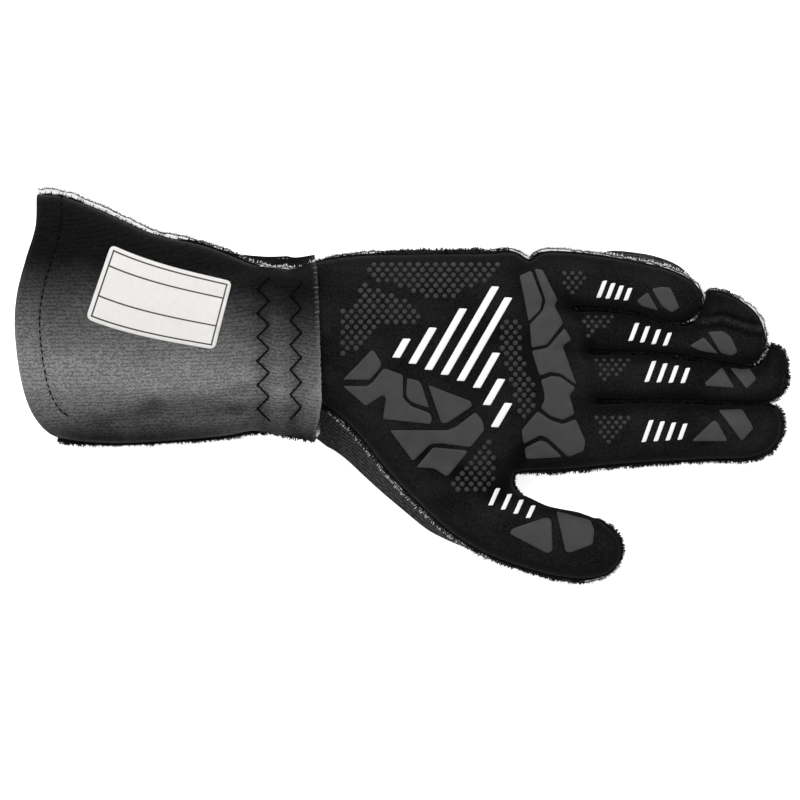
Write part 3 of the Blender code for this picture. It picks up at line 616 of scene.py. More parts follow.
# Relief of the cuff alone: hem, folded edge, and the gathers beside the elastic rows
def cuffRelief(layout):
    place = layout["place"]
    fromMouth = distanceTo(place, layout["mouth"])
    fromWrist = cutPlace(layout, "cuffEdge", place) - place[:, 0]
    total = doubledEdge(fromMouth, cuffHem) + doubledEdge(fromWrist, cuffFold)
    turn = 2.0 * np.pi * place[:, 1] / (cuffHem["puckerPitch"] * mm) + 3.0 * place[:, 0] / mm
    hem = bell(fromMouth - cuffHem["width"] * mm, cuffHem["puckerWidth"] * mm)
    total += cuffHem["pucker"] * mm * np.sin(turn) * hem
    teeth = elasticRows["lower"]["tooth"] * mm
    phase = place[:, 1] + waves(place, gathers["sway"])
    cells = np.abs(np.sin(0.5 * np.pi * phase / teeth)) - 0.5
    middle = 0.5 * (elasticRows["lower"]["along"] + elasticRows["upper"]["along"]) * mm
    fromMiddle = place[:, 0] - middle
    total += gathers["cells"] * mm * cells * bell(fromMiddle, gathers["cellWidth"] * mm)
    pleats = np.cos(np.pi * phase / teeth + gathers["lean"])
    pleats *= 0.75 + 0.6 * softNoise(place, (60.0, 9.0, 20.0), 26)
    for away, depth, width in gathers["pleats"]:
        total -= depth * mm * pleats * bell(fromMiddle - away * mm, width * mm)
    for row in elasticRows.values():
        corners = zigzagCorners(row)
        legs = zip(corners[:-1], corners[1:])
        away = np.min([distanceToLine(place, *leg) for leg in legs], axis=0)
        total -= row["groove"] * mm * bell(away, elasticWidth["groove"] * mm)
    total -= foldDepth(place, cuffCreases)
    return total + waves(place, (0.6, (42.0, 14.0, 20.0), 6))


# Relief of the knit back: lengthwise wrinkles that lift it off the floor
def backRelief(place):
    wrinkles = softNoise(place, (48.0, 7.0, 10.0), 8) + 0.5 * softNoise(place, (20.0, 4.5, 8.0), 9)
    return 1.3 * mm * np.maximum(wrinkles, -0.3) + 0.4 * mm * softNoise(place, 22.0, 10)


# Share of the lap's extra height: full where the cuff laps over the hand, fading out
def lapShare(seam, along):
    lap = seam["place"][seam["lapStart"][0]][0]
    edge = seam["place"][seam["cuffEdge"][0]][0]
    fade = shell["lapFade"] * mm
    rising = eased((along - lap + fade) / (0.75 * fade))
    return rising * (1.0 - eased((along - edge - 0.1 * fade) / fade))


# Width of the lip with its cut edge a little uneven
def raggedLip(seam, width, seed):
    uneven = 0.4 * seamNoise(seam, 6.0, seed) + 0.6 * seamNoise(seam, 2.1, seed + 1)
    return np.maximum(width + (uneven - shell["fuzzRoom"]) * mm, shell["leastLip"] * mm)


# A panel's edge: shares of the steep wall's height at its rings, how it bows out, its gathers
# where it swells, and the lip's rings from the wall's foot out. Those have their places at the
# foot, their lift, and their share of the lip's slow wave.
panelEdge = {
    "wallShares": (0.93, 0.84, 0.74, 0.63, 0.52, 0.41, 0.3, 0.2, 0.1), "bow": 2.2,
    "gather": 1.2, "gatherSize": 6.0, "gatherReach": 8.0,
    "footPlaces": (0.10, 0.36, 0.62), "footShare": 0.45, "bevel": 0.2,
    "lifts": ((0.0, 0.0), (-0.5, 0.2), (-0.05, 0.5), (0.05, 0.75), (0.0, 1.0), (-0.18, 1.0)),
}


# Rings of one side, from the rim down the wall, over the stitch groove to the lip's edge.
# up is 1 for the palm side and -1 for the back; wall is the height of the steep wall.
def sideRings(seam, bulge, wall, level, lip, up):
    foot = shell["wall"] * mm
    swollen = (bulge - shell["plainBulge"] * mm) / (panelEdge["gatherReach"] * mm)
    gather = seamNoise(seam, panelEdge["gatherSize"], 30 + up) * np.clip(swollen, 0.0, 1.0)
    gather = panelEdge["gather"] * mm * gather
    rings = []
    for share in panelEdge["wallShares"]:
        outward = foot + bulge * share ** panelEdge["bow"] + gather * share ** 2
        rings.append(ringOf(seam, outward, level + up * wall * share))
    wave = (0.3 * seamNoise(seam, 13.0, 20) + 0.18 * seamNoise(seam, 5.0, 21)) * mm
    across = lip - foot
    near = panelEdge["footShare"] * across
    offsets = [foot + np.minimum(place * mm, near) for place in panelEdge["footPlaces"]]
    offsets.append(foot + 0.5 * (across + panelEdge["footPlaces"][-1] * mm))
    offsets += [lip - panelEdge["bevel"] * mm, lip]
    for offset, (lift, sway) in zip(offsets, panelEdge["lifts"]):
        rings.append(ringOf(seam, offset, level + up * lift * mm + wave * sway))
    return rings


# One side of the glove as an open outer surface: places and how many rings it has
def palmSurface(seam, layout):
    level = seam["height"] + (0.5 * shell["plyGap"] + shell["wall"]) * mm
    rimHeight = shell["palmRim"] * mm
    rim = smoothField(layout, level + rimHeight)
    rise = swelling(layout, shell["palmSwell"])
    share = rise / (rise + rimHeight)
    lip = raggedLip(seam, seam["lip"] - seam["band"], 12)
    rings = sideRings(seam, seam["palmBulge"], rimHeight, level, lip, 1)
    relief = palmRelief(layout["place"])
    height = rim + rise + relief * share
    return {"layout": layout, "place": stacked(layout, height, rings), "up": 1, "share": share,
            "rings": len(rings), "relief": relief}


def backSurface(seam, layout):
    level = seam["height"] - (0.5 * shell["plyGap"] + shell["wall"]) * mm
    drop = shell["backRimShare"] * level
    rim = smoothField(layout, level - drop)
    lowest = (shell["wall"] + shell["lapGap"]) * mm * lapShare(seam, layout["place"][:, 0])
    sunk = rim - swelling(layout, shell["backSwell"])
    depth = swellShare(rim - sunk)
    relief = backRelief(layout["place"])
    height = softFloor(sunk + relief * depth, lowest)
    lip = raggedLip(seam, seam["lip"], 15)
    rings = sideRings(seam, seam["backBulge"], drop, level, lip, -1)
    return {"layout": layout, "place": stacked(layout, height, rings), "up": -1, "share": depth,
            "rings": len(rings), "relief": relief}


# Share of a relief that a swelling of some depth takes
def swellShare(depth):
    return depth / (depth + 4.0 * mm)


# Larger of two heights with a rounded corner between them
def softFloor(height, lowest):
    soft = 0.5 * mm
    over = height - lowest
    return lowest + 0.5 * (over + np.sqrt(over ** 2 + soft ** 2))


# The layout's points at their heights with the rings' points after them
def stacked(layout, height, rings):
    return np.vstack([np.column_stack([layout["place"], height])] + rings)


# Number of the first point of the panel's rim and of each ring after it
def ringStarts(surface):
    inner = len(surface["layout"]["place"])
    count = surface["layout"]["seam"]["count"]
    return [0] + [inner + number * count for number in range(surface["rings"])]


# Triangles between neighbouring rings over a stretch of the seam
def stripFaces(surface, start, end):
    starts = ringStarts(surface)
    index = np.arange(start, end)
    faces = []
    for one, other in zip(starts[:-1], starts[1:]):
        faces += quads(one + index, one + index + 1, other + index + 1, other + index)
    return np.vstack(faces)


# Averaged directions of a surface at its points
def pointNormals(place, faces):
    corners = place[faces]
    across = np.cross(corners[:, 1] - corners[:, 0], corners[:, 2] - corners[:, 0])
    normals = np.zeros_like(place)
    for turn in range(3):
        for axis in range(3):
            normals[:, axis] += np.bincount(faces[:, turn], across[:, axis], len(place))
    return normals / np.maximum(np.linalg.norm(normals, axis=1), 1e-15)[:, None]


# Rings of the lip, counted from its outer end
lipRing = {"first": -4, "groove": -5, "edge": -2}


# Move the cuff outwards off the hand that it laps over
def pushedOut(surface, faces, distance):
    seam = surface["layout"]["seam"]
    place = surface["place"]
    moved = place + pointNormals(place, faces) * distance[:, None]
    for number, start in enumerate(ringStarts(surface)):
        rows = slice(start, start + seam["count"])
        sideways = seam["normal"] * distance[rows, None]
        onLip = number > surface["rings"] + lipRing["first"]
        moved[rows, :2] = place[rows, :2] + (0.0 if onLip else sideways)
        moved[rows, 2] = place[rows, 2] + surface["up"] * distance[rows]
    return moved


# A closed mesh object from an open outer surface: the wall grows inwards. The three slots are
# for the outer side, the inner side and the cut edge.
def walledPiece(name, place, faces, materials, columns):
    used, packed = np.unique(faces, return_inverse=True)
    faces = packed.reshape(faces.shape)
    outer = place[used]
    count = len(outer)
    inner = outer - pointNormals(outer, faces) * shell["wall"] * mm
    edges = np.vstack([faces[:, [0, 1]], faces[:, [1, 2]], faces[:, [2, 0]]])
    keys = np.sort(edges, axis=1)
    keys = keys[:, 0] * count + keys[:, 1]
    _, first, times = np.unique(keys, return_index=True, return_counts=True)
    rim = edges[first[times == 1]]
    a, b = rim[:, 0], rim[:, 1]
    rimFaces = np.vstack(quads(b, a, a + count, b + count))
    every = np.vstack([faces, faces[:, ::-1] + count, rimFaces])
    slots = np.repeat((0, 1, 2), (len(faces), len(faces), len(rimFaces)))
    made = meshPiece(name, np.vstack([outer, inner]), every, materials, slots)
    for key, values in columns.items():
        attribute = made.data.attributes.new(key, "FLOAT", "POINT")
        attribute.data.foreach_set("value", np.tile(values[used], 2).astype(np.float32))
    made.data.set_sharp_from_angle(angle=math.radians(50.0))
    return made


# A new object in the scene
def linked(name, data):
    made = bpy.data.objects.new(name, data)
    bpy.context.scene.collection.objects.link(made)
    return made


# A mesh object from arrays, shaded smooth, with its finish slots
def meshPiece(name, place, faces, materials, slots=None):
    mesh = bpy.data.meshes.new(name)
    mesh.from_pydata(place.tolist(), [], faces.tolist())
    for material in materials:
        mesh.materials.append(material)
    mesh.shade_smooth()
    if slots is not None:
        mesh.polygons.foreach_set("material_index", slots.astype(np.int32))
    return linked(name, mesh)


# Give a finished piece its body, and hide the nodes that it stands for
def handOver(piece, slot, *nodes):
    if nodes:
        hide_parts(*nodes)
    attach(piece, "root")


# Which triangles of a layout lie past a cut across the glove
def pastCut(layout, name):
    middles = layout["place"][layout["faces"]].mean(axis=1)
    return middles[:, 0] > cutPlace(layout, name, middles)


# What the finishes need to know at each point of a surface: how much it belongs to the lip,
# whether its inner face is white, its relief in millimetres, and its place in the knit, which
# follows the seam: travel along it and distance from the panel's border, both in metres
def surfaceColumns(surface, relief):
    layout = surface["layout"]
    seam = layout["seam"]
    count = seam["count"]
    inner = len(layout["place"])
    total = len(surface["place"])
    lip = np.zeros(total)
    white = np.ones(total)
    reliefs = np.zeros(total)
    reliefs[:inner] = relief / mm
    nearest, course = nearestTo(layout["place"], layout["place"][:count])
    travel = seam["travel"][nearest]
    courses = [course]
    travels = [travel]
    before = surface["place"][:count]
    depth = np.zeros(count)
    lipShares = (0.4, 0.9, 1.0, 1.0, 1.0, 1.0)
    for number in range(surface["rings"]):
        start = inner + number * count
        ring = surface["place"][start:start + count]
        depth = depth - np.linalg.norm(ring - before, axis=1)
        before = ring
        courses.append(depth)
        travels.append(seam["travel"])
        white[start:start + count] = np.clip(seam["band"] / (0.3 * mm), 0.0, 1.0)
        share = number - surface["rings"] + len(lipShares)
        if share >= 0:
            lip[start:start + count] = lipShares[share]
    return {"lip": lip, "white": white, "relief": reliefs, "course": np.concatenate(courses),
            "travel": np.concatenate(travels)}


# The hand's panel of one side: the finished piece and its outer surface
def handPiece(name, surface, finishes):
    layout = surface["layout"]
    lap = layout["seam"]["lapStart"]
    strips = stripFaces(surface, lap[0], lap[1])
    faces = np.vstack([layout["faces"][pastCut(layout, "lapStart")], strips])[:, ::surface["up"]]
    columns = surfaceColumns(surface, surface["relief"])
    if surface["up"] == 1:
        # Along the ridge the lip's lighter tones are laid in as a painted highlight
        rough = bell(ridgeDistance(layout["place"]), ridge["width"] * mm)
        columns["lip"][:len(rough)] = rough
    piece = walledPiece(name, surface["place"], faces, finishes, columns)
    return {"piece": piece, "place": surface["place"], "faces": faces, "surface": surface,
            "seam": layout["seam"]}


# Half widths of the cuff's edges painted lighter, partly fraying fibres and partly a painted
# highlight
cuffFrayAndHighlight = {"wrist": 1.1, "mouth": 1.5}


# The cuff's panel of one side, lifted off the hand that it laps over
def cuffPiece(name, surface, finishes):
    layout = surface["layout"]
    seam = layout["seam"]
    edge = seam["cuffEdge"]
    last = seam["count"] - 1
    place = surface["place"].copy()
    inner = len(layout["place"])
    relief = cuffRelief(layout)
    place[:inner, 2] += surface["up"] * relief * surface["share"]
    every = np.vstack([layout["faces"], stripFaces(surface, 0, last)])[:, ::surface["up"]]
    share = lapShare(seam, np.minimum(place[:, 0], cutPlace(layout, "cuffEdge", place)))
    distance = share * (shell["wall"] + shell["lapGap"]) * mm
    lifted = pushedOut(dict(surface, place=place), every, distance)
    lifted[:, 2] = np.maximum(lifted[:, 2], 0.0)
    faces = np.vstack([
        layout["faces"][~pastCut(layout, "cuffEdge")],
        stripFaces(surface, 0, edge[0]),
        stripFaces(surface, edge[1], last),
    ])[:, ::surface["up"]]
    columns = surfaceColumns(surface, relief + surface["relief"])
    fromEdge = np.abs(place[:, 0] - cutPlace(layout, "cuffEdge", place))
    columns["rim"] = bell(fromEdge, cuffFrayAndHighlight["wrist"] * mm)
    columns["mouth"] = bell(distanceTo(place[:, :2], layout["mouth"]), cuffFrayAndHighlight["mouth"] * mm)
    columns["white"] *= eased(fromEdge / (14.0 * mm) - 0.3)
    piece = walledPiece(name, lifted, faces, finishes, columns)
    return {"piece": piece, "place": lifted, "faces": faces, "surface": surface, "seam": seam}


# A closed outline with rounded corners, counter-clockwise, its points no further apart than
# a step
def roundedOutline(corners, radius, step):
    corners = np.array(corners, float)
    following = np.roll(corners, -1, axis=0)
    if (corners[:, 0] * following[:, 1] - corners[:, 1] * following[:, 0]).sum() < 0.0:
        corners = corners[::-1]
    rough = []
    for index, corner in enumerate(corners):
        before = corners[index - 1] - corner
        after = corners[(index + 1) % len(corners)] - corner
        long = np.linalg.norm(before)
        other = np.linalg.norm(after)
        cut = min(radius, 0.42 * long, 0.42 * other)
        start = corner + before / long * cut
        end = corner + after / other * cut
        for share in np.linspace(0.0, 1.0, 5):
            early = start + (corner - start) * share
            late = corner + (end - corner) * share
            rough.append(early + (late - early) * share)
    points = []
    for start, end in zip(rough, rough[1:] + rough[:1]):
        count = max(1, math.ceil(np.linalg.norm(end - start) / step))
        points += [start + (end - start) * part / count for part in range(count)]
    return np.array(points)


# An outline moved inwards
def insetOutline(outline, distance):
    run = np.roll(outline, -1, axis=0) - np.roll(outline, 1, axis=0)
    run /= np.maximum(np.linalg.norm(run, axis=1), 1e-12)[:, None]
    return outline + np.column_stack([-run[:, 1], run[:, 0]]) * distance


# Heights in metres from which points are dropped onto a panel, or where one that misses it is
# brought to the nearest place from
drapeFrom = {"drop": 0.2, "missed": 0.02}


# Something to drape on: the outer surface of a panel
def drapeTree(panel):
    used, packed = np.unique(panel["faces"], return_inverse=True)
    faces = packed.reshape(panel["faces"].shape)
    return BVHTree.FromPolygons(panel["place"][used].tolist(), faces.tolist())


# Places and directions where points seen from above, or from below, meet a surface
def draped(tree, points, up=1):
    places = []
    normals = []
    for x, y in points:
        hit, normal, _, _ = tree.ray_cast((x, y, drapeFrom["drop"] * up), (0.0, 0.0, -up))
        if hit is None:
            hit, normal, _, _ = tree.find_nearest((x, y, drapeFrom["missed"]))
        places.append(tuple(hit))
        normals.append(tuple(normal))
    return np.array(places), np.array(normals)


# A thin closed piece with a bevelled edge that lies on a panel. Its outline may be given in
# flat coordinates of its own, with a function that brings them onto the glove.
def patchPiece(name, tree, outline, look, material, onGlove=None):
    outline = roundedOutline(outline, look["radius"] * mm, look["step"] * mm)
    inner = insetOutline(outline, look["bevel"] * mm)
    count = len(outline)
    field = fieldPoints(inner, inner, look["step"] * mm)
    flat, faces = triangles(np.vstack([inner, field]), ringEdges(count), count)
    total = len(flat)
    flat = np.vstack([flat, outline, outline, flat])
    height = look["height"] * mm
    lift = np.repeat((height, 0.55 * height, -0.12 * mm, -0.12 * mm), (total, count, count, total))
    ground = draped(tree, onGlove(flat) if onGlove else flat)[0]
    ground[:, 2] += lift
    index = np.arange(count)
    after = (index + 1) % count
    walls = []
    for one, other in ((0, total), (total, total + count), (total + count, total + 2 * count)):
        walls += quads(one + index, other + index, other + after, one + after)
    every = np.vstack([faces] + walls + [faces[:, ::-1] + total + 2 * count])
    piece = meshPiece(name, ground, every, [material])
    if onGlove:
        uv = piece.data.uv_layers.new(name="UVMap")
        uv.data.foreach_set("uv", flat[every.ravel()].ravel().astype(np.float32))
    piece.data.set_sharp_from_angle(angle=math.radians(70.0))
    return piece


# A pixel of the photograph as a place on the glove, in metres
def fromPhoto(pixels):
    pixels = np.array(pixels, float)
    columns = pixels[..., 0] - photo["originColumn"]
    rows = photo["originRow"] - pixels[..., 1]
    return np.stack([columns, rows], axis=-1) * photo["mmPerPixel"] * mm


# Grip pads, each the outline of its corners in pixels of the photograph
padLook = {"radius": 1.1, "step": 1.1, "bevel": 0.28, "height": 0.5, "tones": (0.043, 0.05)}
padOutlines = {
    "palm_heel": ((372, 350), (375, 352), (382, 364), (379, 370), (370, 380), (343, 380)),
    "palm_side": (
        (343, 386), (368, 386), (374, 381), (383, 369), (386, 369), (403, 375), (403, 398),
        (411, 406), (430, 413), (432, 420), (430, 424), (383, 419), (386, 398), (383, 395),
        (366, 406),
    ),
    "palm_centre": ((407, 378), (419, 381), (422, 386), (429, 408), (411, 402), (406, 396)),
    "palm_upper": ((428, 385), (470, 401), (472, 406), (447, 423), (441, 423)),
    "palm_low": (
        (390, 430), (447, 430), (455, 427), (475, 412), (482, 420), (484, 430), (470, 447),
        (440, 443), (430, 444), (413, 461),
    ),
    "palm_thumb": (
        (433, 447), (465, 450), (467, 452), (450, 473), (446, 476), (434, 468), (416, 467),
    ),
    "knuckle_1": ((519, 276), (531, 271), (542, 300), (540, 310), (528, 322), (524, 300)),
    "knuckle_2": (
        (534, 269), (542, 270), (549, 284), (557, 300), (554, 306), (563, 323), (546, 345),
        (531, 348), (529, 325), (542, 311), (545, 301),
    ),
    "knuckle_3": (
        (531, 351), (547, 348), (564, 328), (571, 340), (562, 346), (576, 385), (560, 374),
        (550, 372), (539, 376),
    ),
    "knuckle_4": (
        (540, 380), (551, 376), (560, 377), (575, 388), (569, 395), (574, 414), (562, 420),
        (550, 416), (540, 408), (544, 400), (543, 390),
    ),
    "knuckle_5": (
        (537, 411), (550, 420), (562, 424), (575, 419), (585, 441), (583, 451), (568, 457),
        (547, 438), (540, 435), (523, 444), (521, 430),
    ),
    "knuckle_6": ((524, 448), (540, 440), (546, 442), (562, 457), (526, 459)),
    "little_finger_1": ((636, 301), (647, 292), (658, 311), (641, 306)),
    "little_finger_2": ((651, 289), (662, 287), (670, 288), (679, 308), (671, 313), (661, 306)),
    "ring_finger_1": ((689, 346), (703, 337), (718, 354), (700, 351)),
    "ring_finger_2": ((707, 332), (722, 331), (730, 337), (737, 352), (731, 356), (720, 353)),
    "middle_finger_1": ((704, 383), (722, 367), (734, 388), (706, 386)),
    "middle_finger_2": ((730, 368), (748, 366), (756, 379), (746, 389)),
    "index_finger_1": ((691, 441), (713, 420), (717, 422), (727, 441)),
    "index_finger_2": ((718, 410), (742, 409), (753, 428), (741, 441)),
    "thumb_1": ((509, 533), (512, 528), (545, 517), (551, 519), (552, 550), (547, 553)),
    "thumb_2": ((556, 511), (590, 520), (594, 530), (592, 544), (570, 552), (565, 551)),
}


dotTones = (0.027, 0.039)
# Fields of small round dots: pitch in pixels along a row and between rows, dot radius and
# height in millimetres, and outlines in pixels
dotFields = {
    "palmDots": {"pitch": (8.8, 5.2), "radius": 1.22, "height": 0.42, "outlines": (
        ((362, 285), (380, 288), (400, 298), (415, 303), (422, 316), (419, 323), (382, 323),
         (372, 335), (358, 348), (345, 358), (341, 355), (343, 312), (356, 300)),
        ((370, 264), (400, 263), (498, 265), (500, 270), (480, 285), (462, 292), (448, 302),
         (430, 299), (416, 293), (390, 285), (366, 277)),
        ((503, 320), (518, 318), (522, 345), (525, 362), (530, 380), (537, 392), (536, 402),
         (525, 417), (520, 417), (512, 385), (504, 370), (498, 338)),
        ((484, 439), (491, 443), (496, 460), (497, 483), (485, 490), (460, 494), (452, 490),
         (452, 485), (460, 470), (470, 455)),
    )},
    "fingerDots": {"pitch": (8.0, 4.8), "radius": 1.02, "height": 0.36, "outlines": (
        ((557, 270), (588, 273), (571, 297)),
        ((577, 317), (617, 316), (590, 340)),
        ((592, 357), (638, 358), (603, 386)),
        ((593, 417), (636, 415), (607, 447)),
    )},
}

# White print: plain slanted bars across the palm, and a few short ones on each digit
palmBars = {"halfWidth": 3.5, "slant": 0.5, "lines": (
    ((396, 358), (407, 339)), ((412, 364), (433, 328)), ((428, 370), (463, 309)),
    ((444, 375), (495, 287)), ((460, 381), (508, 298)), ((476, 388), (496, 353)),
    ((486, 405), (501, 379)), ((494, 427), (508, 403)),
)}
digitBars = {"halfWidth": 2.1, "slant": 0.5, "rows": {
    "little_finger": {"start": (598, 298), "step": (9.0, 0.9), "bar": (6.5, -17.0), "count": 4},
    "ring_finger": {"start": (630, 341), "step": (11.5, 1.6), "bar": (7.0, -18.0), "count": 4},
    "middle_finger": {"start": (646, 382), "step": (12.0, 0.4), "bar": (8.0, -21.0), "count": 4},
    "index_finger": {"start": (643, 442), "step": (12.0, -0.8), "bar": (8.0, -22.0), "count": 4},
    "thumb": {"start": (490, 505), "step": (12.5, 4.2), "bar": (8.0, -17.0), "count": 4},
}}
printLook = {"radius": 0.5, "step": 1.1, "bevel": 0.2, "height": 0.36, "tones": (0.86, 0.93)}


# Corners of a bar between two points, its ends cut on a slant
def barCorners(start, end, half, slant):
    start = np.array(start, float)
    end = np.array(end, float)
    run = (end - start) / np.linalg.norm(end - start)
    side = np.array((-run[1], run[0])) * half
    lean = run * half * slant
    return [start + side + lean, start - side - lean, end - side - lean, end + side + lean]


# Label: its corners in pixels, its flat size, and its lines
labelLook = {
    "corners": {"lowLeft": (88, 319), "lowRight": (216, 350), "highRight": (233, 282),
                "highLeft": (113, 245)},
    "size": (55.3, 31.8), "radius": 2.6, "step": 1.1, "bevel": 0.2, "height": 0.5,
    "bow": 1.7, "frameInset": 1.9, "lineWidth": 0.62, "rules": (0.335, 0.74), "thread": 0.34,
    "ground": (0.71, 0.8), "line": (0.045, 0.042, 0.027, 1.0),
}


def labelOnGlove(flat):
    corners = {name: fromPhoto(place) for name, place in labelLook["corners"].items()}
    u = flat[:, :1] / (labelLook["size"][0] * mm)
    v = flat[:, 1:] / (labelLook["size"][1] * mm)
    low = corners["lowLeft"] * (1.0 - u) + corners["lowRight"] * u
    high = corners["highLeft"] * (1.0 - u) + corners["highRight"] * u
    place = low * (1.0 - v) + high * v
    sag = np.sin(np.pi * u[:, 0] ** 0.75) * labelLook["bow"] * mm
    place[:, 1] -= sag
    return place


# Add a node to a tree, its inputs set from values or linked from sockets
def addNode(tree, kind, inputs, **settings):
    node = tree.nodes.new(kind)
    for key, value in settings.items():
        setattr(node, key, value)
    for key, value in inputs.items():
        if isinstance(value, bpy.types.NodeSocket):
            tree.links.new(value, node.inputs[key])
        else:
            node.inputs[key].default_value = value
    return node


# Small shapes repeated on points by Geometry Nodes. The points carry two directions, facing
# and along; shape is a dome, a stitch or a fibre.
def repeatTree(shape):
    group = bpy.data.node_groups.new(shape + "Repeat", "GeometryNodeTree")
    group.interface.new_socket("Geometry", in_out="INPUT", socket_type="NodeSocketGeometry")
    for name in ("length", "width", "height", "unevenness"):
        group.interface.new_socket(name, in_out="INPUT", socket_type="NodeSocketFloat")
    group.interface.new_socket("seed", in_out="INPUT", socket_type="NodeSocketInt")
    group.interface.new_socket("finish", in_out="INPUT", socket_type="NodeSocketMaterial")
    group.interface.new_socket("Geometry", in_out="OUTPUT", socket_type="NodeSocketGeometry")

    def add(kind, inputs, **settings):
        return addNode(group, kind, inputs, **settings)

    given = add("NodeGroupInput", {}).outputs
    facing = add("GeometryNodeInputNamedAttribute", {"Name": "facing"}, data_type="FLOAT_VECTOR")
    along = add("GeometryNodeInputNamedAttribute", {"Name": "along"}, data_type="FLOAT_VECTOR")
    if shape == "fibre":
        solid = add("GeometryNodeMeshCone", {
            "Vertices": 3, "Radius Top": 0.15, "Radius Bottom": 0.5, "Depth": 1.0,
        }).outputs["Mesh"]
    else:
        solid = add("GeometryNodeMeshUVSphere", {
            "Segments": 10 if shape == "dome" else 8, "Rings": 5, "Radius": 0.5,
        }).outputs["Mesh"]
    scale = add("ShaderNodeCombineXYZ", {
        "X": given["length"], "Y": given["width"], "Z": given["height"],
    }).outputs["Vector"]
    formed = add("GeometryNodeTransform", {"Geometry": solid, "Scale": scale}).outputs["Geometry"]
    toAlong = add("FunctionNodeAlignRotationToVector", {"Vector": along.outputs["Attribute"]},
                  axis="X")
    toFacing = add("FunctionNodeAlignRotationToVector", {
        "Rotation": toAlong.outputs["Rotation"], "Vector": facing.outputs["Attribute"],
    }, axis="Z", pivot_axis="X" if shape == "stitch" else "AUTO")
    jitter = add("FunctionNodeRandomValue", {
        2: add("ShaderNodeMath", {0: 1.0, 1: given["unevenness"]}, operation="SUBTRACT").outputs[0],
        3: add("ShaderNodeMath", {0: 1.0, 1: given["unevenness"]}, operation="ADD").outputs[0],
        "Seed": given["seed"],
    }, data_type="FLOAT")
    placed = add("GeometryNodeInstanceOnPoints", {
        "Points": given["Geometry"], "Instance": formed,
        "Rotation": toFacing.outputs["Rotation"], "Scale": jitter.outputs[1],
    })
    real = add("GeometryNodeRealizeInstances", {"Geometry": placed.outputs["Instances"]})
    smooth = add("GeometryNodeSetShadeSmooth", {"Geometry": real.outputs["Geometry"]})
    finished = add("GeometryNodeSetMaterial", {
        "Geometry": smooth.outputs["Geometry"], "Material": given["finish"],
    })
    add("NodeGroupOutput", {"Geometry": finished.outputs["Geometry"]})
    return group


repeatTrees = {}
repeatSeed = 7


# A plain mesh piece of one small shape repeated at places. The size is length, width and
# height in millimetres.
def repeated(name, shape, places, facing, size, material, along=None, unevenness=0.1):
    points = bpy.data.meshes.new(name + "Points")
    points.from_pydata(np.asarray(places).tolist(), [], [])
    if along is None:
        along = np.tile((1.0, 0.0, 0.0), (len(places), 1))
    for key, values in (("facing", facing), ("along", along)):
        column = points.attributes.new(key, "FLOAT_VECTOR", "POINT")
        column.data.foreach_set("vector", np.asarray(values, np.float32).ravel())
    source = linked(name + "Source", points)
    if shape not in repeatTrees:
        repeatTrees[shape] = repeatTree(shape)
    group = repeatTrees[shape]
    modifier = source.modifiers.new("repeat", "NODES")
    modifier.node_group = group
    sockets = {item.name: item.identifier for item in group.interface.items_tree
               if item.in_out == "INPUT"}
    for key, value in zip(("length", "width", "height"), size):
        modifier[sockets[key]] = value * mm
    modifier[sockets["unevenness"]] = unevenness
    modifier[sockets["seed"]] = repeatSeed
    modifier[sockets["finish"]] = material
    graph = bpy.context.evaluated_depsgraph_get()
    mesh = bpy.data.meshes.new_from_object(source.evaluated_get(graph))
    mesh.name = name
    bpy.data.objects.remove(source, do_unlink=True)
    return linked(name, mesh)


# Staggered places inside an outline
def dotPlaces(outline, pitch):
    outline = np.array(outline, float)
    low = np.floor(outline.min(axis=0) / pitch) * pitch
    high = outline.max(axis=0)
    places = []
    for row in range(int((high[1] - low[1]) / pitch[1]) + 2):
        for column in range(int((high[0] - low[0]) / pitch[0]) + 2):
            places.append((low[0] + (column + 0.5 * (row % 2)) * pitch[0], low[1] + row * pitch[1]))
    places = np.array(places)
    return places[insideOf(places, outline)]


# Evenly spaced places along a line of points, with the direction of travel there
def spacedAlong(line, pitch):
    line = np.asarray(line)
    steps = np.linalg.norm(np.diff(line, axis=0), axis=1)
    travel = np.concatenate([[0.0], np.cumsum(steps)])
    count = max(1, int(travel[-1] / pitch))
    at = (np.arange(count) + 0.5) * travel[-1] / count
    places = np.column_stack([np.interp(at, travel, line[:, axis]) for axis in range(line.shape[1])])
    number = np.clip(np.searchsorted(travel, at) - 1, 0, len(line) - 2)
    direction = (line[number + 1] - line[number]) / np.maximum(steps[number], 1e-12)[:, None]
    return places, direction


# Corners of a zigzag row across the cuff
def zigzagCorners(row):
    count = int(round((row["ends"][0] - row["ends"][1]) / row["tooth"]))
    corners = []
    for index in range(count + 1):
        sway = row["swing"] if index % 2 == 0 else -row["swing"]
        across = row["ends"][0] + (row["ends"][1] - row["ends"][0]) * index / count
        corners.append((row["along"] + sway, across))
    return np.array(corners) * mm


# One ring of a panel along the seam, as places in order
def ringPlaces(panel, number):
    surface = panel["surface"]
    count = surface["layout"]["seam"]["count"]
    start = len(surface["layout"]["place"]) + (surface["rings"] + number) * count
    return panel["place"][start:start + count]


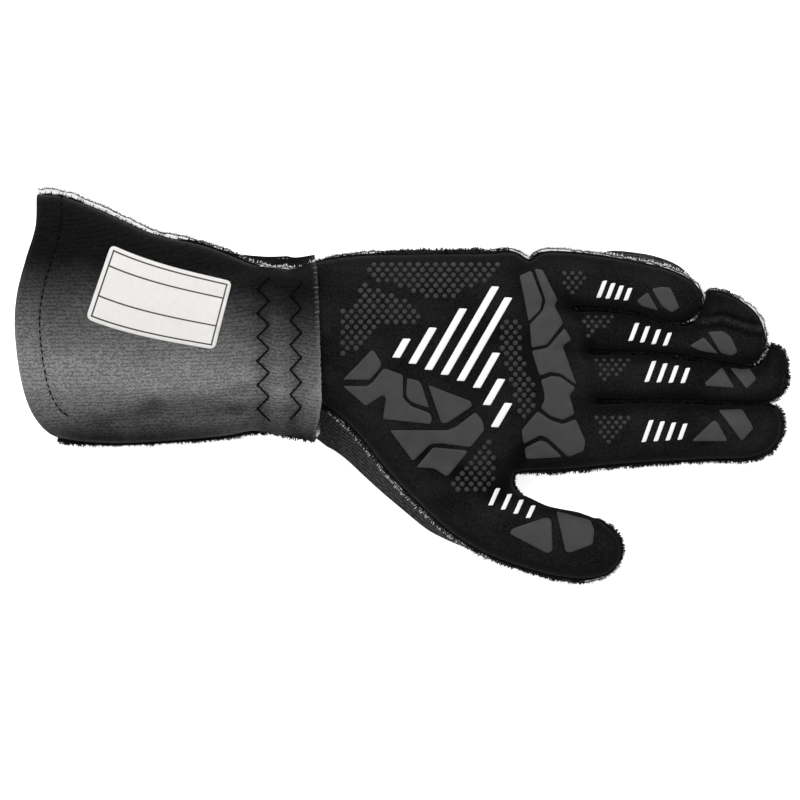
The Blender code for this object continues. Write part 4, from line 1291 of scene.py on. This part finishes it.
# Nodes of a material, with their inputs set from numbers or linked from sockets
class Finish:
    def __init__(self, name, roughness, specular=0.5, **constants):
        self.material = bpy.data.materials.new(name)
        self.material.use_nodes = True
        self.tree = self.material.node_tree
        self.shader = self.tree.nodes["Principled BSDF"]
        self.shader.inputs["Roughness"].default_value = roughness
        self.shader.inputs["Specular IOR Level"].default_value = specular
        for key, value in constants.items():
            self.shader.inputs[key.replace("_", " ")].default_value = value
        self.coords = self.add("ShaderNodeTexCoord", {}).outputs["Object"]

    def add(self, kind, inputs, **settings):
        return addNode(self.tree, kind, inputs, **settings)

    # Noise with features of a given size in millimetres, from 0 to 1
    def noise(self, size, detail=2.0, stretch=(1.0, 1.0, 1.0), coords=None):
        scaled = self.add("ShaderNodeMapping", {
            "Vector": coords or self.coords,
            "Scale": tuple(1.0 / (size * mm * value) for value in stretch),
        })
        made = self.add("ShaderNodeTexNoise", {
            "Vector": scaled.outputs["Vector"], "Scale": 1.0, "Detail": detail,
        })
        return made.outputs["Fac"]

    # Parallel stripes, from -1 to 1, whose direction is the vector across them
    def stripes(self, direction, pitch, coords=None):
        turn = 2.0 * math.pi / (pitch * mm)
        across = Vector(direction).normalized() * turn
        dot = self.add("ShaderNodeVectorMath", {0: coords or self.coords, 1: across},
                       operation="DOT_PRODUCT")
        return self.math("SINE", dot.outputs["Value"])

    def math(self, operation, one, other=0.0, third=0.0):
        node = self.add("ShaderNodeMath", {0: one, 1: other, 2: third}, operation=operation)
        return node.outputs[0]

    def times(self, one, other):
        return self.math("MULTIPLY", one, other)

    def plus(self, one, other):
        return self.math("ADD", one, other)

    def minus(self, one, other):
        return self.math("SUBTRACT", one, other)

    # Map a range onto another, smoothly where asked
    def ranged(self, value, low, high, start=0.0, end=1.0, smooth=True):
        kind = "SMOOTHSTEP" if smooth else "LINEAR"
        node = self.add("ShaderNodeMapRange", {
            "Value": value, "From Min": low, "From Max": high, "To Min": start, "To Max": end,
        }, interpolation_type=kind)
        return node.outputs["Result"]

    def mixed(self, share, one, other):
        node = self.add("ShaderNodeMix", {"Factor": share, 6: one, 7: other}, data_type="RGBA")
        return node.outputs[2]

    # Two greys, mixed by a share
    def shaded(self, share, tones, warmth=0.0):
        return self.mixed(share, gray(tones[0]), gray(tones[1], warmth))

    def attribute(self, name):
        return self.add("ShaderNodeAttribute", {}, attribute_name=name).outputs["Fac"]

    def axis(self, name, coords=None):
        split = self.add("ShaderNodeSeparateXYZ", {"Vector": coords or self.coords})
        return split.outputs[name]

    def setColor(self, color):
        self.tree.links.new(color, self.shader.inputs["Base Color"])
        return self

    def setRoughness(self, value):
        self.tree.links.new(value, self.shader.inputs["Roughness"])
        return self

    def setBump(self, height, depth, strength=1.0):
        bump = self.add("ShaderNodeBump", {
            "Height": height, "Distance": depth * mm, "Strength": strength,
        })
        self.tree.links.new(bump.outputs["Normal"], self.shader.inputs["Normal"])
        return self


def gray(value, warmth=0.0):
    return (value * (1.0 + warmth), value, value * (1.0 - warmth), 1.0)


# Black suede with a short brushed nap over a fine diagonal base weave, with painted shade beside its
# seams and in its folds: pitches of the weave, sizes of the nap and its patches, reach and tone of
# the painted shade, and the greys
suedeLook = {
    "twill": 0.9, "cross": 1.1, "nap": 0.75, "patches": 14.0, "beside": 0.0055,
    "tones": (0.002, 0.015), "fold": 0.0012, "lipTones": (0.002, 0.024),
}


def suedeFinish():
    made = Finish("blackSuede", 0.95, 0.05, Sheen_Weight=0.03, Sheen_Roughness=0.5)
    twill = made.stripes((0.8, 1.0, 0.3), suedeLook["twill"])
    cross = made.stripes((1.0, -0.7, 0.4), suedeLook["cross"])
    weave = made.times(twill, cross)
    nap = made.noise(suedeLook["nap"], 4.0)
    patches = made.noise(suedeLook["patches"], 2.0, (1.6, 1.0, 1.0))
    tone = made.plus(made.times(nap, 0.65), made.times(patches, 0.35))
    tone = made.plus(tone, made.times(weave, 0.07))
    base = made.shaded(made.ranged(tone, 0.34, 0.68), suedeLook["tones"])
    # Painted shade in the folds, darker where the relief is deeper
    paintedFoldShade = made.ranged(made.attribute("relief"), -3.0, 0.0, 0.12, 1.0)
    # Painted shade beside the seams, darkest over the wall and the stitch groove
    beside = made.ranged(made.attribute("course"), 0.0, suedeLook["beside"], 0.25, 1.0)
    base = made.mixed(made.times(paintedFoldShade, beside), gray(suedeLook["fold"]), base)
    # The raw lip's lighter tones, which along the palm's ridge stand as a painted highlight
    lip = made.shaded(made.ranged(nap, 0.35, 0.65), suedeLook["lipTones"])
    made.setColor(made.mixed(made.attribute("lip"), base, lip))
    height = made.plus(made.times(nap, 0.8), made.times(weave, 0.2))
    return made.setBump(height, 0.3, 0.8).material


# Cut edge of the suede and its fibres, matt and dark
def suedeEdgeFinish():
    made = Finish("suedeCutEdge", 0.97, 0.04, Sheen_Weight=0.08, Sheen_Roughness=0.6)
    fuzz = made.noise(0.35, 4.0)
    made.setColor(made.shaded(fuzz, (0.002, 0.011)))
    return made.setBump(fuzz, 0.3, 1.0).material


# Charcoal knit: fine raised courses that follow the seam beside it and run lengthwise further
# in, with light flecks along them
knitLook = {"course": 1.3, "fleck": 0.75, "turnsInwards": (0.010, 0.018), "tones": (0.012, 0.058)}


def knitFinish():
    made = Finish("charcoalKnit", 0.88, 0.12, Sheen_Weight=0.1, Sheen_Roughness=0.5)
    course = made.attribute("course")
    alongSeam = made.add("ShaderNodeCombineXYZ", {"X": made.attribute("travel"), "Y": course})
    sway = made.times(made.noise(9.0, 2.0, coords=alongSeam.outputs[0]), 0.0016)
    bent = made.add("ShaderNodeCombineXYZ", {"Y": made.plus(course, sway)}).outputs[0]
    beside = made.stripes((0.0, 1.0, 0.0), knitLook["course"], bent)
    lengthwise = made.stripes((0.12, 1.0, 0.5), knitLook["course"])
    inwards = made.ranged(course, *knitLook["turnsInwards"])
    courses = made.plus(made.times(beside, made.minus(1.0, inwards)),
                        made.times(lengthwise, inwards))
    flecks = made.noise(knitLook["fleck"], 3.0, (2.2, 1.0, 1.0), alongSeam.outputs[0])
    shade = made.noise(7.0, 3.0)
    tone = made.plus(made.times(courses, 0.07), flecks)
    tone = made.plus(tone, made.times(made.minus(shade, 0.5), 0.3))
    made.setColor(made.shaded(made.ranged(tone, 0.36, 0.68), knitLook["tones"], -0.01))
    return made.setBump(made.plus(courses, flecks), 0.2, 0.8).material


# White inner face of the back and of the cuff, brushed. On the panels it is dark on the seam
# allowance where no white shows.
fleeceLook = {"pile": 0.55, "broad": 4.0, "tones": (0.66, 0.92), "hidden": 0.006}


def fleeceFinish(name, share=None):
    made = Finish(name, 0.92, 0.12, Sheen_Weight=0.15, Sheen_Roughness=0.6)
    pile = made.noise(fleeceLook["pile"], 4.0)
    broad = made.noise(fleeceLook["broad"], 3.0)
    tone = made.plus(made.times(pile, 0.5), made.times(broad, 0.5))
    light = made.shaded(made.ranged(tone, 0.3, 0.55), fleeceLook["tones"])
    if share:
        light = made.mixed(made.attribute(share), gray(fleeceLook["hidden"]), light)
    made.setColor(light)
    return made.setBump(pile, 0.3, 0.9).material


# Ribbed stretch fabric of the cuff, toned from black at the little finger side to grey below
# the middle and back to black at the thumb side, partly dyed in and partly painted light on its
# ribs:
# sizes of the rib, and places in metres across the glove where each slope of the tone starts and
# ends
cuffLook = {
    "rib": 1.35, "dash": 0.95, "yarn": 0.6, "fadeAbove": (0.044, -0.005),
    "fadeBelow": (-0.0235, 0.002), "greys": (0.11, 0.27), "blacks": (0.0015, 0.0065),
    "frayAndHighlight": (0.04, 0.34), "lip": (0.002, 0.012),
}


def cuffFinish():
    made = Finish("ribbedCuff", 0.88, 0.08, Sheen_Weight=0.06, Sheen_Roughness=0.4)
    x = made.axis("X")
    y = made.axis("Y")
    wobble = made.times(made.noise(14.0, 2.0, (3.0, 1.0, 1.0)), 0.0016)
    shifted = made.add("ShaderNodeCombineXYZ", {
        "X": x, "Y": made.plus(y, wobble), "Z": made.axis("Z"),
    }).outputs["Vector"]
    # Rows of short dark dashes, as the yarn of a fine rib shows
    rib = made.stripes((0.0, 1.0, 0.8), cuffLook["rib"], shifted)
    rows = made.ranged(rib, -0.95, 0.1, 1.0, 0.0)
    gate = made.noise(cuffLook["dash"], 2.0, (2.8, 1.0, 1.0), shifted)
    gate = made.ranged(gate, 0.38, 0.56)
    dashes = made.times(rows, gate)
    yarn = made.noise(cuffLook["yarn"], 3.0, (1.6, 1.0, 1.0), shifted)
    soft = made.minus(made.noise(24.0, 3.0, (0.6, 1.0, 1.0)), 0.5)
    # The two slopes of the tone across the cuff, partly dyed in and partly painted light
    sway = made.times(soft, 0.010)
    tilt = made.plus(made.plus(y, made.times(x, 0.09)), sway)
    tilt = made.plus(tilt, made.ranged(x, -0.070, -0.045, 0.0, 0.0075))
    above = made.ranged(tilt, *cuffLook["fadeAbove"], smooth=False)
    above = made.math("POWER", above, 1.6)
    below = made.ranged(made.plus(y, sway), *cuffLook["fadeBelow"], smooth=False)
    dyeAndPaintedLight = made.math("SMOOTH_MIN", above, below, 0.1)
    # Painted shade in the cuff's folds, pleats and dents, darker where the relief is deeper
    paintedFoldShade = made.ranged(made.attribute("relief"), -4.0, 0.0, 0.42, 1.1, smooth=False)
    grain = made.minus(yarn, made.times(dashes, 0.17))
    grain = made.ranged(grain, 0.3, 0.68)
    light = made.shaded(grain, cuffLook["greys"], -0.01)
    dark = made.shaded(grain, cuffLook["blacks"])
    body = made.mixed(made.times(dyeAndPaintedLight, paintedFoldShade), dark, light)
    frayAndHighlight = made.shaded(dyeAndPaintedLight, cuffLook["frayAndHighlight"])
    # Edges painted lighter, partly as fraying fibres and partly as a painted highlight on the folded
    # edge
    for edge, share in (("rim", 0.8), ("mouth", 0.2)):
        body = made.mixed(made.times(made.attribute(edge), share), body, frayAndHighlight)
    lip = made.shaded(yarn, cuffLook["lip"])
    made.setColor(made.mixed(made.times(made.attribute("lip"), 0.9), body, lip))
    height = made.minus(yarn, made.times(dashes, 0.4))
    return made.setBump(height, 0.25, 0.8).material


# Grey moulded silicone of the pads and dots
def siliconeFinish(name, tones):
    made = Finish(name, 0.6, 0.2)
    mottle = made.noise(6.0, 3.0)
    grain = made.noise(0.7, 2.0)
    mottle = made.ranged(mottle, 0.3, 0.7)
    made.setColor(made.mixed(mottle, gray(tones[0], -0.02), gray(tones[1], -0.02)))
    made.setRoughness(made.ranged(grain, 0.2, 0.8, 0.52, 0.68))
    return made.setBump(grain, 0.05, 0.5).material


# White rubber print
def printFinish():
    made = Finish("whitePrint", 0.55, 0.3)
    grain = made.noise(0.8, 2.0)
    made.setColor(made.shaded(grain, printLook["tones"]))
    return made.setBump(grain, 0.04, 0.4).material


# Woven white label with a dark frame and two rules, drawn by the label's own coordinates
def labelFinish(label):
    made = Finish("wovenLabel", 0.75, 0.25)
    uv = made.add("ShaderNodeUVMap", {}, uv_map="UVMap").outputs["UV"]
    u = made.axis("X", uv)
    v = made.axis("Y", uv)
    warp = made.stripes((1.0, 0.0, 0.0), label["thread"], uv)
    weft = made.stripes((0.0, 1.0, 0.0), label["thread"], uv)
    weave = made.times(warp, weft)
    low, high = label["ground"]
    ground = made.mixed(made.noise(2.2, 4.0), gray(low, 0.02), gray(high, 0.02))
    frameGap = label["frameInset"] * mm
    half = 0.5 * label["lineWidth"] * mm

    # 1 on a line at a distance from zero along a coordinate
    def line(value, at):
        away = made.math("ABSOLUTE", made.minus(value, at))
        return made.ranged(away, half * 0.7, half * 1.4, 1.0, 0.0)

    def between(value, low, high):
        above = made.math("GREATER_THAN", value, low)
        return made.times(above, made.math("LESS_THAN", value, high))

    width, height = (value * mm for value in label["size"])
    insideU = between(u, frameGap - half, width - frameGap + half)
    insideV = between(v, frameGap - half, height - frameGap + half)
    marks = None
    for value, at, limit in (
        (u, frameGap, insideV), (u, width - frameGap, insideV),
        (v, frameGap, insideU), (v, height - frameGap, insideU),
        (v, label["rules"][0] * height, insideU), (v, label["rules"][1] * height, insideU),
    ):
        mark = made.times(line(value, at), limit)
        marks = mark if marks is None else made.math("MAXIMUM", marks, mark)
    made.setColor(made.mixed(marks, ground, label["line"]))
    return made.setBump(weave, 0.05, 0.5).material


# Plain sewing thread
def threadFinish(name, tone):
    made = Finish(name, 0.9, 0.04)
    twist = made.noise(0.3, 2.0)
    made.setColor(made.shaded(twist, (tone * 0.6, tone * 1.4)))
    return made.setBump(twist, 0.05, 0.6).material


# Camera straight above, far enough away to be nearly flat, as in the photograph
cameraSetup = {"height": 2.5, "sensor": 36.0, "focusHeight": 0.012}


def placeCamera():
    scale = photo["mmPerPixel"] * mm
    width = photo["pixels"] * scale
    centre = 0.5 * photo["pixels"]
    data = bpy.data.cameras.new("photoCamera")
    data.sensor_width = cameraSetup["sensor"]
    data.lens = cameraSetup["sensor"] * (cameraSetup["height"] - cameraSetup["focusHeight"]) / width
    data.clip_start = 0.05
    data.clip_end = 50.0
    camera = linked("photoCamera", data)
    camera.location = (
        (centre - photo["originColumn"]) * scale,
        (photo["originRow"] - centre) * scale,
        cameraSetup["height"],
    )
    bpy.context.scene.camera = camera


# Soft studio light: two wide panels at the sides, a low front one and a pale room
lights = {
    "left": {"place": (-1.1, 0.9, 1.4), "size": 1.2, "watts": 19.0},
    "right": {"place": (1.0, 1.1, 1.4), "size": 1.2, "watts": 15.0},
    "front": {"place": (0.0, -1.3, 1.7), "size": 1.8, "watts": 8.0},
}
room = {"color": (1.0, 1.0, 1.0, 1.0), "strength": 0.46, "floorSize": 8.0, "floorGlow": 0.75}


def placeStage():
    for name, light in lights.items():
        data = bpy.data.lights.new(name, "AREA")
        data.size = light["size"]
        data.energy = light["watts"]
        made = linked(name + "Light", data)
        made.location = light["place"]
        aim = Vector((0.0, 0.0, 0.0)) - made.location
        made.rotation_euler = aim.to_track_quat("-Z", "Y").to_euler()
    world = bpy.data.worlds.new("room")
    world.use_nodes = True
    background = world.node_tree.nodes["Background"]
    background.inputs["Color"].default_value = room["color"]
    background.inputs["Strength"].default_value = room["strength"]
    bpy.context.scene.world = world
    bpy.context.scene.view_settings.view_transform = "Standard"
    half = 0.5 * room["floorSize"]
    corners = np.array([(-1, -1, 0), (1, -1, 0), (1, 1, 0), (-1, 1, 0)]) * half
    paint = Finish("palePaper", 0.9, 0.1, Emission_Color=gray(1.0),
                   Emission_Strength=room["floorGlow"])
    speckle = paint.noise(40.0, 2.0)
    paint.setColor(paint.mixed(speckle, gray(0.93), gray(0.95)))
    floor = meshPiece("floor", corners, np.array([(0, 1, 2), (0, 2, 3)]), [paint.material])


# The four panels of cloth
def buildShell(finishes):
    panels = {}
    for part in ("Hand", "Cuff"):
        seam = seamLine(part)
        for side, surfaceOf in (("palm", palmSurface), ("back", backSurface)):
            layout = panelLayout(seam, seam[side + "Bulge"])
            surface = surfaceOf(seam, layout)
            build = handPiece if part == "Hand" else cuffPiece
            panels[side + part] = build(side + part, surface, finishes[side + part])
            print(side + part, len(panels[side + part]["piece"].data.polygons), "faces")
    for name, slot, node in (
        ("palmHand", "suede", "palm_panel"), ("palmCuff", "cuff_fabric", "cuff_palm_panel"),
        ("backHand", "knit", "back_panel"), ("backCuff", "cuff_fabric", "cuff_back_panel"),
    ):
        handOver(panels[name]["piece"], slot, node)
    return panels


# Pads, dots, white print and label
def buildGrip(hand, cuff):
    silicone = siliconeFinish("greySilicone", padLook["tones"])
    dotSilicone = siliconeFinish("dotSilicone", dotTones)
    for name, outline in padOutlines.items():
        pad = patchPiece("gripPad_" + name, hand, fromPhoto(outline), padLook, silicone)
        handOver(pad, "silicone", "grip_pad_" + name)
    for name, row in dotFields.items():
        pixels = np.vstack([dotPlaces(outline, row["pitch"]) for outline in row["outlines"]])
        places, normals = draped(hand, fromPhoto(pixels))
        size = (2.0 * row["radius"], 2.0 * row["radius"], 2.0 * row["height"])
        dots = repeated(name, "dome", places, normals, size, dotSilicone, unevenness=0.06)
        handOver(dots, "silicone")
        print(name, len(places), "dots")
    white = printFinish()
    for number, (start, end) in enumerate(palmBars["lines"], 1):
        corners = barCorners(start, end, palmBars["halfWidth"], palmBars["slant"])
        bar = patchPiece(f"palmBar_{number}", hand, fromPhoto(corners), printLook, white)
        handOver(bar, "white_print")
    for digit, row in digitBars["rows"].items():
        for number in range(row["count"]):
            start = np.array(row["start"]) + number * np.array(row["step"])
            end = start + np.array(row["bar"]) * (1.0 - 0.09 * number)
            corners = barCorners(start, end, digitBars["halfWidth"], digitBars["slant"])
            name = f"{digit}_bar_{number + 1}"
            handOver(patchPiece(name, hand, fromPhoto(corners), printLook, white), "white_print")
    width, height = (value * mm for value in labelLook["size"])
    flat = ((0.0, 0.0), (width, 0.0), (width, height), (0.0, height))
    label = patchPiece("cuffLabel", cuff, flat, labelLook, labelFinish(labelLook), labelOnGlove)
    handOver(label, "label", "label_patch")
    print("grip, print and label built")


# Thread: length, width and height of a stitch, its pitch, and how it lies on the cloth
stitches = {
    "seam": {"size": (2.3, 0.5, 0.42), "pitch": 2.9, "lift": 0.08},
    "hem": {"size": (2.4, 0.7, 0.8), "pitch": 2.9},
    "zigzag": {"size": (3.0, 0.78, 0.9), "perLeg": 4, "lift": 0.2},
    "overcast": {"size": (2.0, 0.3, 0.26), "pitch": 2.1, "inset": 0.9, "lean": (1.0, 0.12, -0.1),
                 "unevenness": 0.35},
}
threadTones = {"black": 0.0018, "grey": 0.16}


# One piece of thread: stitches of a kind at places
def sew(name, kind, places, facing, along, thread, unevenness=0.1):
    size = stitches[kind]["size"]
    made = repeated(name, "stitch", places, facing, size, thread, along, unevenness=unevenness)
    handOver(made, "thread")


def buildThread(panels, cuffTrees):
    black = threadFinish("blackThread", threadTones["black"])
    grey = threadFinish("greyThread", threadTones["grey"])
    for name in ("palmHand", "palmCuff", "backHand", "backCuff"):
        panel = panels[name]
        seam = panel["seam"]
        line = ringPlaces(panel, lipRing["groove"])
        if name.endswith("Hand"):
            lines = [line[seam["lapStart"][0]:seam["lapStart"][1]]]
        else:
            lines = [line[:seam["cuffEdge"][0]], line[seam["cuffEdge"][1]:]]
        found = [spacedAlong(run, stitches["seam"]["pitch"] * mm) for run in lines]
        places = np.vstack([row[0] for row in found])
        along = np.vstack([row[1] for row in found])
        up = panel["surface"]["up"]
        places[:, 2] += stitches["seam"]["lift"] * mm * up
        facing = np.tile((0.0, 0.0, float(up)), (len(places), 1))
        sew(name + "SeamStitches", "seam", places, facing, along, black)
    for side, tree in cuffTrees.items():
        up = 1 if side == "palm" else -1
        mouth = panels[side + "Cuff"]["surface"]["layout"]["mouth"]
        run = np.gradient(mouth, axis=0)
        run /= np.linalg.norm(run, axis=1)[:, None]
        hem = mouth + np.column_stack([run[:, 1], -run[:, 0]]) * cuffHem["width"] * mm
        flat, direction = spacedAlong(hem, stitches["hem"]["pitch"] * mm)
        places, normals = draped(tree, flat, up)
        along = np.column_stack([direction, np.zeros(len(direction))])
        sew(side + "HemStitches", "hem", places, normals, along, black)
        for name, row in elasticRows.items():
            corners = zigzagCorners(row)
            perLeg = stitches["zigzag"]["perLeg"]
            share = (np.arange(perLeg) + 0.5)[:, None] / perLeg
            flat = np.vstack([a + (b - a) * share for a, b in zip(corners[:-1], corners[1:])])
            direction = np.repeat(np.diff(corners, axis=0), perLeg, axis=0)
            places, normals = draped(tree, flat, up)
            along = np.column_stack([direction, np.zeros(len(direction))])
            places += normals * stitches["zigzag"]["lift"] * mm
            sew(f"{side}Zigzag_{name}", "zigzag", places, normals, along, black)
    look = stitches["overcast"]
    line = panels["palmCuff"]["surface"]["layout"]["cuts"]["cuffEdge"]
    flat, direction = spacedAlong(line, look["pitch"] * mm)
    flat[:, 0] -= look["inset"] * mm
    places, normals = draped(cuffTrees["palm"], flat)
    along = np.tile(look["lean"], (len(places), 1))
    sew("cuffEdgeStitches", "overcast", places, normals, along, grey, look["unevenness"])
    print("thread sewn")


# Fuzz along the raw edges: fibres a millimetre of edge, their length and width, how far they
# stray from straight outwards, and the height of the edge that they cover. Suede fibres are
# sparse beside the white band.
fuzz = {
    "suede": {"density": 4.4, "length": 0.9, "width": 0.52, "stray": 0.4, "height": 0.7,
              "seed": 11},
    "white": {"density": 3.6, "length": 0.9, "width": 0.45, "stray": 0.5, "height": 0.5,
              "seed": 12},
    "dark": {"density": 2.0, "length": 0.65, "width": 0.3, "stray": 0.3, "height": 0.6,
             "seed": 13},
}
fuzzSpread = {"flatten": 0.6, "root": 0.3, "unevenness": 0.45, "bandStart": 0.4, "thinned": 0.8}


# Fibres that stand out from a stretch of raw edge
def fuzzPiece(name, look, line, outward, keep, material):
    random = np.random.default_rng(look["seed"])
    steps = np.linalg.norm(np.diff(line, axis=0), axis=1)
    counts = random.poisson(steps * look["density"] / mm * keep[:-1])
    number = np.repeat(np.arange(len(steps)), counts)
    share = random.random(len(number))[:, None]
    places = line[number] + (line[number + 1] - line[number]) * share
    facing = np.column_stack([outward[number], np.zeros(len(number))])
    facing += random.normal(0.0, look["stray"], facing.shape) * (1.0, 1.0, fuzzSpread["flatten"])
    facing /= np.linalg.norm(facing, axis=1)[:, None]
    places[:, 2] += (random.random(len(number)) - 0.5) * look["height"] * mm
    places += facing * fuzzSpread["root"] * look["length"] * mm
    size = (look["width"], look["width"], look["length"])
    made = repeated(name, "fibre", places, facing, size, material,
                    unevenness=fuzzSpread["unevenness"])
    handOver(made, "suede" if name.startswith("suede") else "knit")


def buildFuzz(panels, suedeEdge, pile, knit):
    for part in ("Hand", "Cuff"):
        palm = panels["palm" + part]
        back = panels["back" + part]
        seam = palm["seam"]
        index = np.arange(seam["count"])
        if part == "Hand":
            shown = (index > seam["lapStart"][0]) & (index < seam["lapStart"][1])
        else:
            shown = (index < seam["cuffEdge"][0]) | (index > seam["cuffEdge"][1])
        shown = shown.astype(float)
        band = np.clip(seam["band"] / mm - fuzzSpread["bandStart"], 0.0, 1.0)
        sparse = shown * (1.0 - fuzzSpread["thinned"] * band)
        palmEdge = ringPlaces(palm, lipRing["edge"])
        backEdge = ringPlaces(back, lipRing["edge"])
        whiteEdge = backEdge.copy()
        whiteEdge[:, 2] += 0.9 * shell["wall"] * mm
        for name, line, keep, material in (
            ("suede", palmEdge, sparse, suedeEdge), ("white", whiteEdge, shown * band, pile),
            ("dark", backEdge, shown, knit),
        ):
            piece = name + "Fuzz" + part
            fuzzPiece(piece, fuzz[name], line, seam["normal"], keep, material)
    print("edges fuzzed")


def main():
    placeCamera()
    placeStage()
    print("camera, lights and floor placed")
    suede = suedeFinish()
    suedeEdge = suedeEdgeFinish()
    knit = knitFinish()
    fleece = fleeceFinish("whiteInnerFace", "white")
    pile = fleeceFinish("whitePile")
    ribbed = cuffFinish()
    panels = buildShell({
        "palmHand": (suede, suedeEdge, suedeEdge), "backHand": (knit, fleece, knit),
        "palmCuff": (ribbed, fleece, ribbed), "backCuff": (ribbed, fleece, ribbed),
    })
    cuffTrees = {side: drapeTree(panels[side + "Cuff"]) for side in ("palm", "back")}
    buildGrip(drapeTree(panels["palmHand"]), cuffTrees["palm"])
    buildThread(panels, cuffTrees)
    buildFuzz(panels, suedeEdge, pile, knit)


main()
